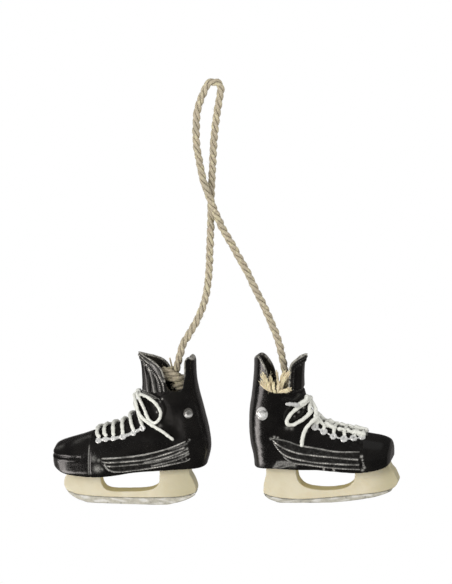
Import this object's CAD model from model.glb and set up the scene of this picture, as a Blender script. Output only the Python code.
"""Looks for the pair of miniature hockey skates hung from a loop of twine.

Everything is worked out in millimetres in each skate's own frame (u forward from the rear of the blade holder,
v outwards on the side that faces the camera, w up from the ice) and then placed in the row frame in metres.
"""
import math

import bmesh
import bpy
import numpy as np
from mathutils import Matrix, Vector
from mathutils.bvhtree import BVHTree


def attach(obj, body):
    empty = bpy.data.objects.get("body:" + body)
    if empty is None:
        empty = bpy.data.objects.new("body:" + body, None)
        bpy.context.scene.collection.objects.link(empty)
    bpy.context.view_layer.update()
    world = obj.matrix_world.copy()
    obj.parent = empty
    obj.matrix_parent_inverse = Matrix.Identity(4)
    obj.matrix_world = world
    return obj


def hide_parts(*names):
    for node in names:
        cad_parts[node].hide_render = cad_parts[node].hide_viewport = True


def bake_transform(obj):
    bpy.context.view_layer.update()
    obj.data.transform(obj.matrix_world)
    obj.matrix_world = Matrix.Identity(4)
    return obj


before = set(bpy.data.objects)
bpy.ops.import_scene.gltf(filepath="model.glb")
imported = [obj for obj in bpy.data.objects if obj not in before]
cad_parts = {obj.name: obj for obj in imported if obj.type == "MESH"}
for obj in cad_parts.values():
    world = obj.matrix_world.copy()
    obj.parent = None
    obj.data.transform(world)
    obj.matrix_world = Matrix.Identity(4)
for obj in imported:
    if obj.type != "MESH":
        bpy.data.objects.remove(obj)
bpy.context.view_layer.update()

MM = 0.001
GAP = 0.3
WALL = 1.9
SOLE_T = 1.5
HOLDER_T = 6.3
RUNNER_T = 5.4
CORD_R = 1.65
YAW = -10.5
CROSS_Z = -58.1
CROSS_Y = 1.95
COARSE = 1.0

LEFT = dict(
    side=1, pitch=-2.0, origin=(-7.7, -2.05, -212.0), knot=(9.0, 64.3), well_floor=53.0,
    form=[
        (69.4, 26.0, 68.8, 19.8, 5.8), (68.2, 28.6, 67.2, 18.0, 9.2), (63.6, 30.9, 62.8, 16.9, 11.7),
        (56.5, 33.3, 56.0, 16.6, 12.9), (48.5, 36.3, 48.0, 16.4, 13.4), (40.5, 39.1, 39.5, 17.2, 13.0),
        (33.5, 42.0, 29.0, 18.8, 11.9), (29.6, 45.8, 18.0, 19.8, 10.9), (27.9, 50.2, 6.4, 20.0, 10.3),
        (25.9, 54.6, -3.0, 20.6, 9.9), (25.0, 58.2, -7.1, 26.0, 9.9), (24.6, 61.5, -7.8, 33.4, 10.3),
        (24.6, 65.5, -5.8, 45.0, 10.9), (24.9, 70.5, -3.0, 58.0, 10.6), (25.7, 75.0, -2.0, 68.0, 10.2),
        (27.3, 81.4, -2.3, 80.4, 9.8)],
    notch=[(31, 79.6), (28.0, 79.4), (25.4, 78.8), (22.8, 77.5), (20.3, 76.6), (17.3, 75.3), (14.8, 73.5),
           (13.0, 71.1), (11.9, 67.8), (11.3, 64.2), (9.8, 61.4), (7.4, 60.5), (5.0, 60.7), (3.2, 62.3),
           (2.6, 66.0), (2.5, 71.0), (2.4, 75.0), (1.6, 76.9), (0.2, 77.6), (-1.2, 76.6), (-2.5, 74.4),
           (-8.0, 71.0), (-8.0, 95), (31, 95)],
    sole=[(-12, 21.2), (0.8, 20.8), (8.2, 20.3), (17.0, 19.6), (30.2, 18.5), (37.6, 17.3), (44.0, 16.5),
          (51.3, 16.4), (58.6, 16.9), (63.5, 17.7), (67.0, 19.4), (72, 22.5)], sole_plane=(-5, 23.2, 70, 17.9),
    split=(8.2, 61.6, 24.5, 57.6, -3.0, 58.2), seam=49.8,
    holder=[(2.9, 30), (2.7, 17.9), (1.4, 14.4), (0.4, 12.0), (-0.4, 9.4), (-0.2, 7.2)],
    holder_front=[(63.6, 6.4), (64.7, 9.6), (64.2, 12.7), (62.9, 16.2), (62.4, 30)],
    joint_line=[(-0.2, 7.2), (1.6, 6.2), (7.6, 4.6), (17.4, 3.8), (32.1, 3.4), (46.7, 3.5), (56.5, 4.0),
                (61.2, 5.2), (63.6, 6.4)],
    base=[(0.4, 5.6), (2.7, 4.0), (6.2, 2.4), (11.0, 1.0), (18.0, 0.0), (50.0, 0.0), (55.0, 0.7), (59.0, 2.1),
          (62.4, 4.6)],
    window=[(17.4, 24), (17.4, 15.5), (17.9, 11.4), (20.0, 8.8), (24.6, 7.2), (31.9, 6.6), (39.3, 6.3),
            (43.7, 7.0), (45.8, 9.3), (46.5, 13.2), (46.6, 24)],
    eyelets=[(45.4, 33.9), (42.0, 34.7), (38.0, 35.4), (33.4, 36.4), (28.2, 38.4), (23.6, 41.0)],
    rungs=(47.2, 43.6, 39.2, 34.6, 30.6, 27.4), rivet=(0.7, 50.1), rivet_size=(2.15, 2.55), trim_u=(0.2, 44.0),
    trim_top=[(0.2, 36.9), (1.1, 36.5), (7.3, 33.9), (14.1, 31.3), (24.9, 28.7), (33.6, 27.8), (44.0, 27.1)],
    trim_low=[(-0.4, 25.8), (9.3, 22.9), (20.2, 21.0), (35.0, 19.3), (40.5, 20.2), (44.0, 24.2)],
    bands=[
        ([(43.0, 26.6), (33.6, 27.2), (24.9, 28.2), (14.1, 30.8), (7.3, 33.4), (3.0, 35.6)], 1.0),
        ([(42.6, 24.9), (39.6, 24.7), (23.3, 25.9), (11.9, 29.1), (3.4, 32.3)], 0.95),
        ([(40.6, 22.8), (34.6, 23.0), (17.7, 24.9), (6.4, 28.1), (1.3, 30.3)], 0.6),
        ([(41.9, 23.6), (41.2, 22.0), (39.7, 20.8), (34.9, 19.9), (20.2, 21.7), (9.3, 24.0), (2.0, 25.6),
          (0.2, 27.8)], 0.75),
        ([(23.0, 24.6), (14.0, 26.6), (7.0, 29.2), (2.0, 31.8)], 0.75),
        ([(19.0, 23.0), (11.0, 25.0), (5.0, 27.2), (1.2, 29.2)], 0.6),
        ([(11.0, 31.2), (6.0, 32.6), (2.0, 34.4)], 0.6)],
    bow_knot=(25.0, 57.2),
    bow_loop=[(25.3, 57.6), (24.5, 56.6), (22.8, 53.6), (21.5, 50.1), (20.4, 47.0), (19.0, 44.9), (17.3, 44.2),
              (15.2, 45.6), (13.7, 47.8), (13.1, 50.5), (13.8, 53.2), (15.2, 55.3), (17.2, 56.8), (20.1, 57.8),
              (24.0, 58.0)],
    bow_tail=[(25.5, 57.4), (25.6, 55.0), (25.0, 51.0), (23.9, 47.3), (21.0, 44.7), (17.0, 42.7), (13.6, 41.0),
              (11.0, 38.9), (8.7, 36.8)],
    groove=[(69.5, 25.4), (65.5, 25.4), (62.9, 25.6), (58.7, 25.8), (54.5, 26.6)],
    tongue_groove=[(25.2, 75.0), (21.4, 73.6), (18.1, 71.6), (16.1, 69.5), (14.4, 67.1), (13.4, 64.1),
                   (12.9, 60.7)],
    ribs=[[(19.4, 71.2), (18.0, 67.0), (17.0, 60.9), (16.2, 57.3)], [(22.2, 72.0), (21.3, 65.9), (20.9, 58.8)]],
    cord=[(-1.4, -69.3), (-1.9, -83.5), (-2.5, -96.7), (-4.4, -108.9), (-8.4, -119.5), (-12.7, -127.4)],
    lean=(3.3, 0, 13.7),
)
RIGHT = dict(
    side=-1, pitch=4.0, origin=(25.4, 1.96, -212.9), knot=(15.0, 60.5), well_floor=51.0,
    form=[
        (64.1, 28.4, 63.2, 21.7, 6.2), (63.0, 31.4, 61.9, 20.5, 9.6), (59.7, 33.2, 58.6, 19.8, 11.5),
        (54.5, 34.4, 53.5, 19.3, 12.7), (48.0, 35.9, 47.2, 19.2, 13.1), (41.3, 37.9, 39.5, 19.7, 12.8),
        (34.6, 39.5, 30.5, 20.3, 11.9), (30.0, 42.2, 20.5, 20.2, 11.0), (27.4, 45.4, 8.6, 19.8, 10.4),
        (25.4, 49.8, -2.2, 18.6, 10.0), (23.6, 55.2, -3.9, 26.4, 10.0), (22.9, 59.8, -5.0, 35.0, 10.4),
        (23.0, 64.2, -4.6, 46.0, 10.9), (24.0, 69.4, -2.6, 57.5, 10.6), (25.1, 73.5, -0.9, 68.0, 10.2),
        (27.1, 80.4, 0.2, 81.0, 9.8)],
    notch=[(31, 74.6), (28.6, 76.4), (26.8, 77.6), (24.7, 77.9), (21.8, 76.6), (19.2, 74.6), (18.0, 72.4),
           (17.3, 67.0), (16.9, 62.6), (15.6, 60.0), (12.8, 59.3), (10.2, 59.4), (8.6, 60.9), (7.7, 65.0),
           (7.3, 68.5), (6.6, 71.2), (5.6, 73.8), (4.0, 76.4), (2.4, 77.8), (0.9, 77.4), (-1.2, 75.4),
           (-8.0, 74.0), (-8.0, 95), (31, 95)],
    sole=[(-12, 20.9), (-3.0, 20.9), (5.3, 20.9), (19.9, 20.2), (29.7, 20.3), (39.5, 19.8), (47.7, 19.3),
          (54.1, 19.8), (59.1, 20.5), (63.1, 21.7), (66.0, 23.4), (70, 26)], sole_plane=(-5, 22.4, 70, 23.0),
    split=(12.8, 60.4, 22.8, 57.6, -3.0, 57.6), seam=51.2,
    holder=[(2.3, 31), (2.0, 17.5), (1.5, 15.0), (0.3, 10.9), (-0.1, 7.9), (-0.2, 6.2)],
    holder_front=[(63.4, 8.3), (65.3, 9.8), (66.3, 11.6), (66.1, 13.0), (64.4, 17.2), (62.6, 20.0), (62.2, 31)],
    joint_line=[(-0.2, 6.2), (3.2, 4.6), (10.0, 3.3), (20.0, 2.9), (33.6, 3.9), (43.5, 4.9), (54.3, 6.0),
                (60.2, 7.1), (63.4, 8.3)],
    base=[(0.5, 4.6), (2.6, 2.8), (5.4, 1.8), (9.0, 1.0), (30.0, 1.0), (38.0, 1.5), (46.0, 2.4), (54.0, 3.8),
          (59.5, 5.4), (62.6, 6.9)],
    window=[(16.7, 26), (16.8, 15.3), (17.8, 11.8), (20.3, 9.4), (25.1, 8.0), (32.4, 7.6), (39.8, 8.6),
            (43.8, 11.1), (45.3, 14.6), (45.8, 26)],
    eyelets=[(50.4, 34.6), (46.6, 34.8), (42.2, 35.0), (37.0, 36.2), (32.1, 38.2), (27.8, 40.6)],
    rungs=(50.2, 47.0, 42.0, 37.0, 32.4, 28.4), rivet=(3.6, 49.6), rivet_size=(2.7, 3.3), trim_u=(7.0, 50.2),
    trim_top=[(7.0, 37.4), (10.4, 36.6), (15.8, 35.1), (20.6, 33.5), (29.8, 32.0), (38.4, 30.8), (50.2, 30.3)],
    trim_low=[(7.0, 34.6), (10.0, 30.2), (13.6, 25.6), (19.4, 23.0), (32.4, 21.9), (40.0, 21.5), (50.2, 21.0)],
    bands=[
        ([(7.2, 36.7), (10.4, 36.2), (15.8, 34.7), (20.6, 33.0), (29.8, 31.5), (38.4, 30.3), (49.9, 29.9)], 0.9),
        ([(7.6, 35.6), (10.2, 33.3), (14.4, 31.0), (20.8, 29.0), (29.5, 28.1), (38.2, 27.5), (49.1, 26.5)], 0.85),
        ([(8.1, 33.9), (10.6, 30.5), (14.2, 27.6), (20.6, 25.9), (29.3, 24.7), (38.0, 24.4), (49.4, 24.0)], 0.95),
        ([(13.0, 26.9), (17.2, 24.4), (23.7, 23.6), (32.4, 22.7), (40.0, 22.1), (49.8, 21.6)], 0.8)],
    bow_knot=(25.6, 54.2),
    bow_loop=[(27.4, 54.8), (27.4, 51.8), (25.5, 48.2), (22.4, 45.4), (18.5, 43.6), (15.1, 43.7), (14.7, 46.1),
              (16.5, 49.0), (19.0, 51.2), (22.4, 52.9), (26.4, 54.8)],
    bow_tail=[(27.8, 53.8), (28.6, 49.4), (28.0, 45.8), (26.3, 43.2), (24.1, 41.0), (22.9, 38.3), (22.2, 34.8),
              (22.0, 33.2)],
    groove=None,
    tongue_groove=[(26.5, 74.6), (22.7, 73.2), (20.2, 72.0), (18.6, 69.6), (18.2, 65.0), (18.0, 60.0)],
    ribs=[[(22.6, 71.2), (22.0, 66.0), (21.6, 60.0)]],
    cord=[(1.9, -66.3), (4.8, -72.9), (8.2, -79.0), (12.0, -86.6), (15.8, -93.7), (19.7, -102.3),
          (23.2, -109.6), (27.4, -119.1), (30.8, -127.9)],
    lean=(-2.9, 0, 14.6),
)


# ---------------------------------------------------------------- curves and numbers
def spline(points, t):
    points = np.asarray(points, float)
    n = len(points) - 1
    at = min(max(t, 0.0), 1.0) * n
    i = min(int(at), n - 1)
    f = at - i
    p0, p1, p2, p3 = points[max(i - 1, 0)], points[i], points[i + 1], points[min(i + 2, n)]
    return 0.5 * (2 * p1 + (p2 - p0) * f + (2 * p0 - 5 * p1 + 4 * p2 - p3) * f * f
                  + (3 * p1 - p0 - 3 * p2 + p3) * f ** 3)


def along(points, count):
    fine = np.array([spline(points, k / 400) for k in range(401)])
    run = np.concatenate([[0], np.cumsum(np.linalg.norm(np.diff(fine, axis=0), axis=1))])
    at = np.linspace(0, run[-1], count)
    return np.stack([np.interp(at, run, fine[:, a]) for a in range(fine.shape[1])], axis=1)


def height_at(points, u):
    fine = np.array([spline(points, k / 300) for k in range(301)])
    order = np.argsort(fine[:, 0])
    return np.interp(u, fine[order, 0], fine[order, 1])


def waves(co, size, seed, count=14):
    """Smooth pseudo-random values about -1..1 whose features are about size mm across."""
    rng = np.random.default_rng(seed)
    total = np.zeros(len(co))
    for _ in range(count):
        k = rng.normal(size=3)
        k *= 2 * math.pi / (size * 2 * rng.uniform(0.7, 1.5)) / np.linalg.norm(k)
        total += np.sin(co @ k + rng.uniform(0, 6.283))
    return total / math.sqrt(count / 2) / 1.6


def line_distance(uw, line, count=60):
    """Distance from each (u, w) to a line through the points, and how far along the line it is, in mm."""
    pts = along(line, count)
    a, b = pts[:-1], pts[1:]
    d = b - a
    length = np.linalg.norm(d, axis=1)
    start = np.concatenate([[0], np.cumsum(length)[:-1]])
    best, where = np.full(len(uw), 1e9), np.zeros(len(uw))
    for k in range(len(a)):
        f = np.clip(((uw - a[k]) @ d[k]) / (length[k] ** 2 + 1e-9), 0, 1)
        gap = np.linalg.norm(uw - a[k] - f[:, None] * d[k], axis=1)
        closer = gap < best
        best[closer] = gap[closer]
        where[closer] = (start[k] + f * length[k])[closer]
    return best, where, float(length.sum())


def step(x, a, b):
    t = np.clip((np.asarray(x, float) - a) / (b - a), 0, 1)
    return t * t * (3 - 2 * t)


# ---------------------------------------------------------------- mesh tools (millimetres)
def mesh_object(name, verts, faces, tidy=True):
    mesh = bpy.data.meshes.new(name)
    mesh.from_pydata([tuple(map(float, p)) for p in verts], [], [tuple(map(int, f)) for f in faces])
    if tidy:
        bm = bmesh.new()
        bm.from_mesh(mesh)
        bmesh.ops.remove_doubles(bm, verts=bm.verts, dist=1e-4)
        bmesh.ops.recalc_face_normals(bm, faces=bm.faces)
        bm.to_mesh(mesh)
        bm.free()
    obj = bpy.data.objects.new(name, mesh)
    bpy.context.scene.collection.objects.link(obj)
    return obj


def loft(name, rings, tidy=True):
    count = len(rings[0])
    verts = [p for ring in rings for p in ring]
    faces = [list(range(count)), list(range((len(rings) - 1) * count, len(rings) * count))[::-1]]
    for r in range(len(rings) - 1):
        for k in range(count):
            a, b = r * count + k, r * count + (k + 1) % count
            faces.append([a, b, b + count, a + count])
    return mesh_object(name, verts, faces, tidy)


def carried_frames(path, up=(0, 1, 0)):
    """Tangents and two side directions carried along the path without twist."""
    path = np.asarray(path, float)
    t = np.gradient(path, axis=0)
    t[0], t[-1] = path[1] - path[0], path[-1] - path[-2]
    t /= np.linalg.norm(t, axis=1)[:, None] + 1e-12
    n = np.zeros_like(path)
    side = np.asarray(up, float)
    for k in range(len(path)):
        side = side - t[k] * np.dot(side, t[k])
        side /= np.linalg.norm(side) + 1e-12
        n[k] = side
    return t, n, np.cross(t, n)


def tube(path, radius, sides=10, flat=1.0, up=(0, 1, 0), rough=0.0, seed=0):
    """Verts and faces of a tube with rounded ends. rough makes its radius uneven."""
    path = np.asarray(path, float)
    t, n, b = carried_frames(path, up)
    radii = np.broadcast_to(np.asarray(radius, float), (len(path),)).copy()
    stations = [(path[0] - t[0] * radii[0] * math.sin(a), n[0], b[0], radii[0] * math.cos(a)) for a in (1.3, 0.9, 0.45)]
    stations += [(path[k], n[k], b[k], radii[k]) for k in range(len(path))]
    stations += [(path[-1] + t[-1] * radii[-1] * math.sin(a), n[-1], b[-1], radii[-1] * math.cos(a))
                 for a in (0.45, 0.9, 1.3)]
    verts = []
    for p, nn, bb, r in stations:
        for k in range(sides):
            a = 2 * math.pi * k / sides
            verts.append(p + r * (flat * math.cos(a) * nn + math.sin(a) * bb))
    verts = np.array(verts)
    if rough:
        centres = np.repeat(np.array([s[0] for s in stations]), sides, axis=0)
        verts = centres + (verts - centres) * (1 + rough * waves(verts, 1.6, seed)[:, None])
    faces = [list(range(sides)), list(range((len(stations) - 1) * sides, len(stations) * sides))[::-1]]
    for r in range(len(stations) - 1):
        for k in range(sides):
            a, c = r * sides + k, r * sides + (k + 1) % sides
            faces.append([a, c, c + sides, a + sides])
    return verts, faces


def ball(centre, radii, turn=None, rings=12, sides=20):
    verts, faces = [], []
    for r in range(1, rings):
        th = math.pi * r / rings
        for k in range(sides):
            a = 2 * math.pi * k / sides
            verts.append((math.sin(th) * math.cos(a), math.sin(th) * math.sin(a), math.cos(th)))
    verts += [(0, 0, 1), (0, 0, -1)]
    top, low = len(verts) - 2, len(verts) - 1
    for r in range(rings - 2):
        for k in range(sides):
            a, c = r * sides + k, r * sides + (k + 1) % sides
            faces.append([a, a + sides, c + sides, c])
    for k in range(sides):
        faces.append([top, k, (k + 1) % sides])
        faces.append([low, (rings - 2) * sides + (k + 1) % sides, (rings - 2) * sides + k])
    verts = np.array(verts) * np.asarray(radii)
    if turn is not None:
        verts = verts @ np.array(turn).T
    return verts + np.asarray(centre), faces


def ring_of(centre, normal, radius, minor, sides=22, small=10):
    """Verts and faces of a torus that lies on a surface with this normal."""
    n = np.asarray(normal) / np.linalg.norm(normal)
    e = np.cross(n, (0, 0, 1.0))
    e /= np.linalg.norm(e)
    f = np.cross(n, e)
    verts, faces = [], []
    for k in range(sides):
        a = 2 * math.pi * k / sides
        out = math.cos(a) * e + math.sin(a) * f
        for j in range(small):
            c = 2 * math.pi * j / small
            verts.append(centre + out * (radius + minor * math.cos(c)) + n * minor * math.sin(c))
    for k in range(sides):
        for j in range(small):
            a, c = k * small + j, k * small + (j + 1) % small
            d = (k + 1) % sides * small
            faces.append([a, c, d + (j + 1) % small, d + j])
    return np.array(verts), faces


def gather(name, parts, tidy=True):
    verts, faces, base = [], [], 0
    for v, f in parts:
        verts.append(np.asarray(v))
        faces += [[i + base for i in face] for face in f]
        base += len(v)
    return mesh_object(name, np.concatenate(verts), faces, tidy)


def prism(name, outline, v0, v1):
    verts = [(u, v0, w) for u, w in outline] + [(u, v1, w) for u, w in outline]
    n = len(outline)
    faces = [list(range(n))[::-1], list(range(n, 2 * n))]
    faces += [[k, (k + 1) % n, n + (k + 1) % n, n + k] for k in range(n)]
    return mesh_object(name, verts, faces)


def apply(obj):
    bpy.context.view_layer.update()
    graph = bpy.context.evaluated_depsgraph_get()
    made = bpy.data.meshes.new_from_object(obj.evaluated_get(graph))
    obj.modifiers.clear()
    old, obj.data = obj.data, made
    bpy.data.meshes.remove(old)
    return obj


def combine(base, tool, operation, keep_tool=False):
    modifier = base.modifiers.new("cut", "BOOLEAN")
    modifier.operation, modifier.solver, modifier.object = operation, "EXACT", tool
    apply(base)
    if not keep_tool:
        bpy.data.objects.remove(tool, do_unlink=True)
    return base


def copy_of(obj, name):
    made = bpy.data.objects.new(name, obj.data.copy())
    bpy.context.scene.collection.objects.link(made)
    return made


def remesh(obj, voxel):
    modifier = obj.modifiers.new("cast", "REMESH")
    modifier.mode, modifier.voxel_size, modifier.adaptivity = "VOXEL", voxel * COARSE, 0.0
    return apply(obj)


def read(obj):
    mesh = obj.data
    co = np.empty(len(mesh.vertices) * 3)
    mesh.vertices.foreach_get("co", co)
    ed = np.empty(len(mesh.edges) * 2, dtype=np.int64)
    mesh.edges.foreach_get("vertices", ed)
    return co.reshape(-1, 3), ed.reshape(-1, 2)


def write(obj, co):
    obj.data.vertices.foreach_set("co", np.ascontiguousarray(co, dtype=float).ravel())
    obj.data.update()


def normals(obj):
    out = np.empty(len(obj.data.vertices) * 3)
    obj.data.vertex_normals.foreach_get("vector", out)
    return out.reshape(-1, 3)


def average(values, ed, n):
    """Mean of each vertex's neighbours."""
    count = np.bincount(ed.ravel(), minlength=n).astype(float)
    count[count == 0] = 1
    if values.ndim == 1:
        total = np.bincount(ed[:, 0], values[ed[:, 1]], n) + np.bincount(ed[:, 1], values[ed[:, 0]], n)
        return total / count
    return np.stack([average(values[:, k], ed, n) for k in range(values.shape[1])], axis=1)


def soften(obj, rounds=8, shrink=0):
    """Takes out the voxel steps without shrinking, then rounds edges with a few plain passes."""
    co, ed = read(obj)
    for _ in range(rounds):
        co = co + 0.5 * (average(co, ed, len(co)) - co)
        co = co - 0.53 * (average(co, ed, len(co)) - co)
    for _ in range(shrink):
        co = co + 0.5 * (average(co, ed, len(co)) - co)
    write(obj, co)


def convexity(obj, rounds=3):
    """How sharply the surface stands out at each vertex: positive on outer edges, negative in creases."""
    co, ed = read(obj)
    lap = average(co, ed, len(co)) - co
    size = np.linalg.norm(co[ed[:, 0]] - co[ed[:, 1]], axis=1).mean()
    value = -(lap * normals(obj)).sum(axis=1) / size
    for _ in range(rounds):
        value = 0.5 * value + 0.5 * average(value, ed, len(co))
    return value


def paint(obj, name, values):
    layer = obj.data.attributes.get(name) or obj.data.attributes.new(name, "FLOAT", "POINT")
    layer.data.foreach_set("value", np.asarray(values, dtype=np.float32))


def keep_largest(obj):
    bm = bmesh.new()
    bm.from_mesh(obj.data)
    left, islands = set(bm.verts), []
    while left:
        todo, seen = [next(iter(left))], set()
        while todo:
            v = todo.pop()
            if v in seen:
                continue
            seen.add(v)
            todo += [e.other_vert(v) for e in v.link_edges if e.other_vert(v) not in seen]
        islands.append(seen)
        left -= seen
    islands.sort(key=len)
    for island in islands[:-1]:
        bmesh.ops.delete(bm, geom=list(island), context="VERTS")
    bm.to_mesh(obj.data)
    bm.free()


# ---------------------------------------------------------------- materials
class Finish:
    """A node material. Its noises are laid out in millimetres of the object's own space."""

    def __init__(self, name):
        self.material = bpy.data.materials.new(name)
        self.material.use_nodes = True
        self.tree = self.material.node_tree
        self.tree.nodes.clear()
        self.out = self.tree.nodes.new("ShaderNodeOutputMaterial")
        self.shader = self.tree.nodes.new("ShaderNodeBsdfPrincipled")
        self.tree.links.new(self.shader.outputs[0], self.out.inputs["Surface"])
        place = self.tree.nodes.new("ShaderNodeTexCoord")
        scale = self.tree.nodes.new("ShaderNodeVectorMath")
        scale.operation = "SCALE"
        scale.inputs["Scale"].default_value = 1000.0
        self.tree.links.new(place.outputs["Object"], scale.inputs[0])
        self.place = scale.outputs[0]

    def put(self, socket, value):
        if hasattr(value, "is_output"):
            self.tree.links.new(value, socket)
        elif isinstance(value, (tuple, list)) and len(value) == 3 and socket.type == "RGBA":
            socket.default_value = (*value, 1.0)
        else:
            socket.default_value = value

    def set(self, **values):
        for key, value in values.items():
            self.put(self.shader.inputs[key.replace("_", " ")], value)
        return self

    def attribute(self, name, kind="Fac"):
        node = self.tree.nodes.new("ShaderNodeAttribute")
        node.attribute_name = name
        return node.outputs[kind]

    def noise(self, size, detail=3.0, rough=0.55, where=None, stretch=None):
        """Noise whose features are about size mm across."""
        source = where or self.place
        if stretch:
            turn = self.tree.nodes.new("ShaderNodeVectorMath")
            turn.operation = "MULTIPLY"
            turn.inputs[1].default_value = stretch
            self.tree.links.new(source, turn.inputs[0])
            source = turn.outputs[0]
        node = self.tree.nodes.new("ShaderNodeTexNoise")
        node.inputs["Scale"].default_value = 1.0 / size
        node.inputs["Detail"].default_value = detail
        node.inputs["Roughness"].default_value = rough
        self.tree.links.new(source, node.inputs["Vector"])
        return node.outputs[0]

    def math(self, operation, a, b=0.0, clamp=False):
        node = self.tree.nodes.new("ShaderNodeMath")
        node.operation, node.use_clamp = operation, clamp
        self.put(node.inputs[0], a)
        self.put(node.inputs[1], b)
        return node.outputs[0]

    def span(self, value, a, b, c=0.0, d=1.0):
        node = self.tree.nodes.new("ShaderNodeMapRange")
        node.interpolation_type = "SMOOTHSTEP"
        self.put(node.inputs[0], value)
        for k, x in enumerate((a, b, c, d)):
            self.put(node.inputs[k + 1], x)
        return node.outputs[0]

    def mix(self, fac, a, b):
        node = self.tree.nodes.new("ShaderNodeMix")
        node.data_type = "RGBA"
        self.put(node.inputs[0], fac)
        self.put(node.inputs[6], a)
        self.put(node.inputs[7], b)
        return node.outputs[2]

    def bump(self, height, strength=0.5, distance=0.0002, under=None):
        node = self.tree.nodes.new("ShaderNodeBump")
        node.inputs["Strength"].default_value = strength
        node.inputs["Distance"].default_value = distance
        self.tree.links.new(height, node.inputs["Height"])
        if under is not None:
            self.tree.links.new(under, node.inputs["Normal"])
        return node.outputs[0]


def boot_finish(name, gloss=0.24, tint=(0.0058, 0.0053, 0.0050)):
    m = Finish(name)
    cloud = m.noise(9.0, 3)
    fine = m.noise(0.7, 4, 0.6)
    base = m.mix(m.span(cloud, 0.35, 0.7), tint, (0.0095, 0.0087, 0.0079))
    silver = m.attribute("silver")
    broken = m.span(m.noise(0.55, 4, 0.65), 0.36, 0.62)
    brushed = m.math("MULTIPLY", silver, m.math("ADD", m.math("MULTIPLY", broken, 0.75), 0.25), True)
    wear = m.math("MULTIPLY", m.attribute("wear"), m.span(m.noise(1.3, 4, 0.6), 0.32, 0.6), True)
    colour = m.mix(wear, base, (0.50, 0.48, 0.42))
    colour = m.mix(brushed, colour, (0.74, 0.72, 0.67))
    rough = m.math("ADD", m.span(fine, 0.3, 0.7, gloss - 0.05, gloss + 0.07), m.math("MULTIPLY", wear, 0.3))
    glossy = m.math("SUBTRACT", 1.0, m.attribute("matte"))
    rough = m.math("ADD", rough, m.math("MULTIPLY", m.attribute("matte"), 0.25), True)
    m.set(Base_Color=colour, Roughness=rough, Metallic=m.math("MULTIPLY", brushed, 0.55),
          Coat_Weight=m.math("MULTIPLY", glossy, 0.35), Coat_Roughness=0.12,
          Specular_IOR_Level=m.math("MULTIPLY", glossy, 0.5))
    height = m.math("ADD", m.math("MULTIPLY", m.noise(2.6, 2), 0.6), m.math("MULTIPLY", fine, 0.25))
    m.set(Normal=m.bump(height, 0.25, 0.00012))
    return m.material


def cream_finish():
    m = Finish("cast_cream")
    cloud, fine = m.noise(7.0, 4, 0.6), m.noise(0.5, 3, 0.6)
    face = m.mix(m.span(cloud, 0.3, 0.72), (0.665, 0.605, 0.45), (0.62, 0.55, 0.385))
    face = m.mix(m.span(m.noise(2.2, 5, 0.7), 0.56, 0.74, 0.0, 0.4), face, (0.55, 0.48, 0.30))
    face = m.mix(m.attribute("shade"), face, (0.40, 0.36, 0.225))
    face = m.mix(m.attribute("inner"), face, (0.70, 0.58, 0.27))
    face = m.mix(m.math("MULTIPLY", m.attribute("wear"), 0.6), face, (0.86, 0.82, 0.72))
    face = m.mix(m.math("MULTIPLY", m.attribute("dark"), m.span(m.noise(0.9, 3), 0.35, 0.6)), face,
                 (0.24, 0.21, 0.15))
    m.set(Base_Color=face, Roughness=m.span(fine, 0.3, 0.7, 0.36, 0.5), Specular_IOR_Level=0.45,
          Subsurface_Weight=0.12, Subsurface_Scale=0.0012, Coat_Weight=0.15, Coat_Roughness=0.2)
    m.set(Subsurface_Radius=(1.0, 0.7, 0.35))
    m.set(Normal=m.bump(m.math("ADD", m.math("MULTIPLY", cloud, 0.5), m.math("MULTIPLY", fine, 0.15)), 0.3, 0.00015))
    return m.material


def silver_finish(name, tone, rough, metal, mottle, dark=(0.10, 0.095, 0.085), crease=1.0):
    m = Finish(name)
    patch = m.noise(mottle, 5, 0.65)
    colour = m.mix(m.span(patch, 0.3, 0.72), tone, tuple(c * 0.74 for c in tone))
    colour = m.mix(m.math("MULTIPLY", m.attribute("dark"), crease, True), colour, dark)
    colour = m.mix(m.math("MULTIPLY", m.attribute("wear"), 0.7, True), colour, (0.93, 0.92, 0.89))
    fine = m.noise(0.35, 4, 0.6)
    m.set(Base_Color=colour, Metallic=metal, Roughness=m.span(patch, 0.3, 0.7, rough - 0.07, rough + 0.12),
          Specular_IOR_Level=0.5)
    height = m.math("ADD", m.math("MULTIPLY", patch, 0.6), m.math("MULTIPLY", fine, 0.3))
    m.set(Normal=m.bump(height, 0.4, 0.00016))
    return m.material


def lace_finish():
    m = Finish("lace_paint")
    patch, fine = m.noise(1.6, 4, 0.6), m.noise(0.3, 3, 0.6)
    colour = m.mix(m.span(patch, 0.3, 0.7), (0.80, 0.80, 0.73), (0.69, 0.69, 0.63))
    colour = m.mix(m.math("MULTIPLY", m.attribute("dark"), 1.0, True), colour, (0.11, 0.11, 0.10))
    colour = m.mix(m.math("MULTIPLY", m.attribute("wear"), 0.55, True), colour, (0.90, 0.90, 0.86))
    m.set(Base_Color=colour, Roughness=m.span(fine, 0.3, 0.7, 0.36, 0.55), Metallic=0.12, Specular_IOR_Level=0.5)
    weave = m.math("ADD", m.math("MULTIPLY", patch, 0.5), m.math("MULTIPLY", fine, 0.5))
    m.set(Normal=m.bump(weave, 0.5, 0.0002))
    return m.material


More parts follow.
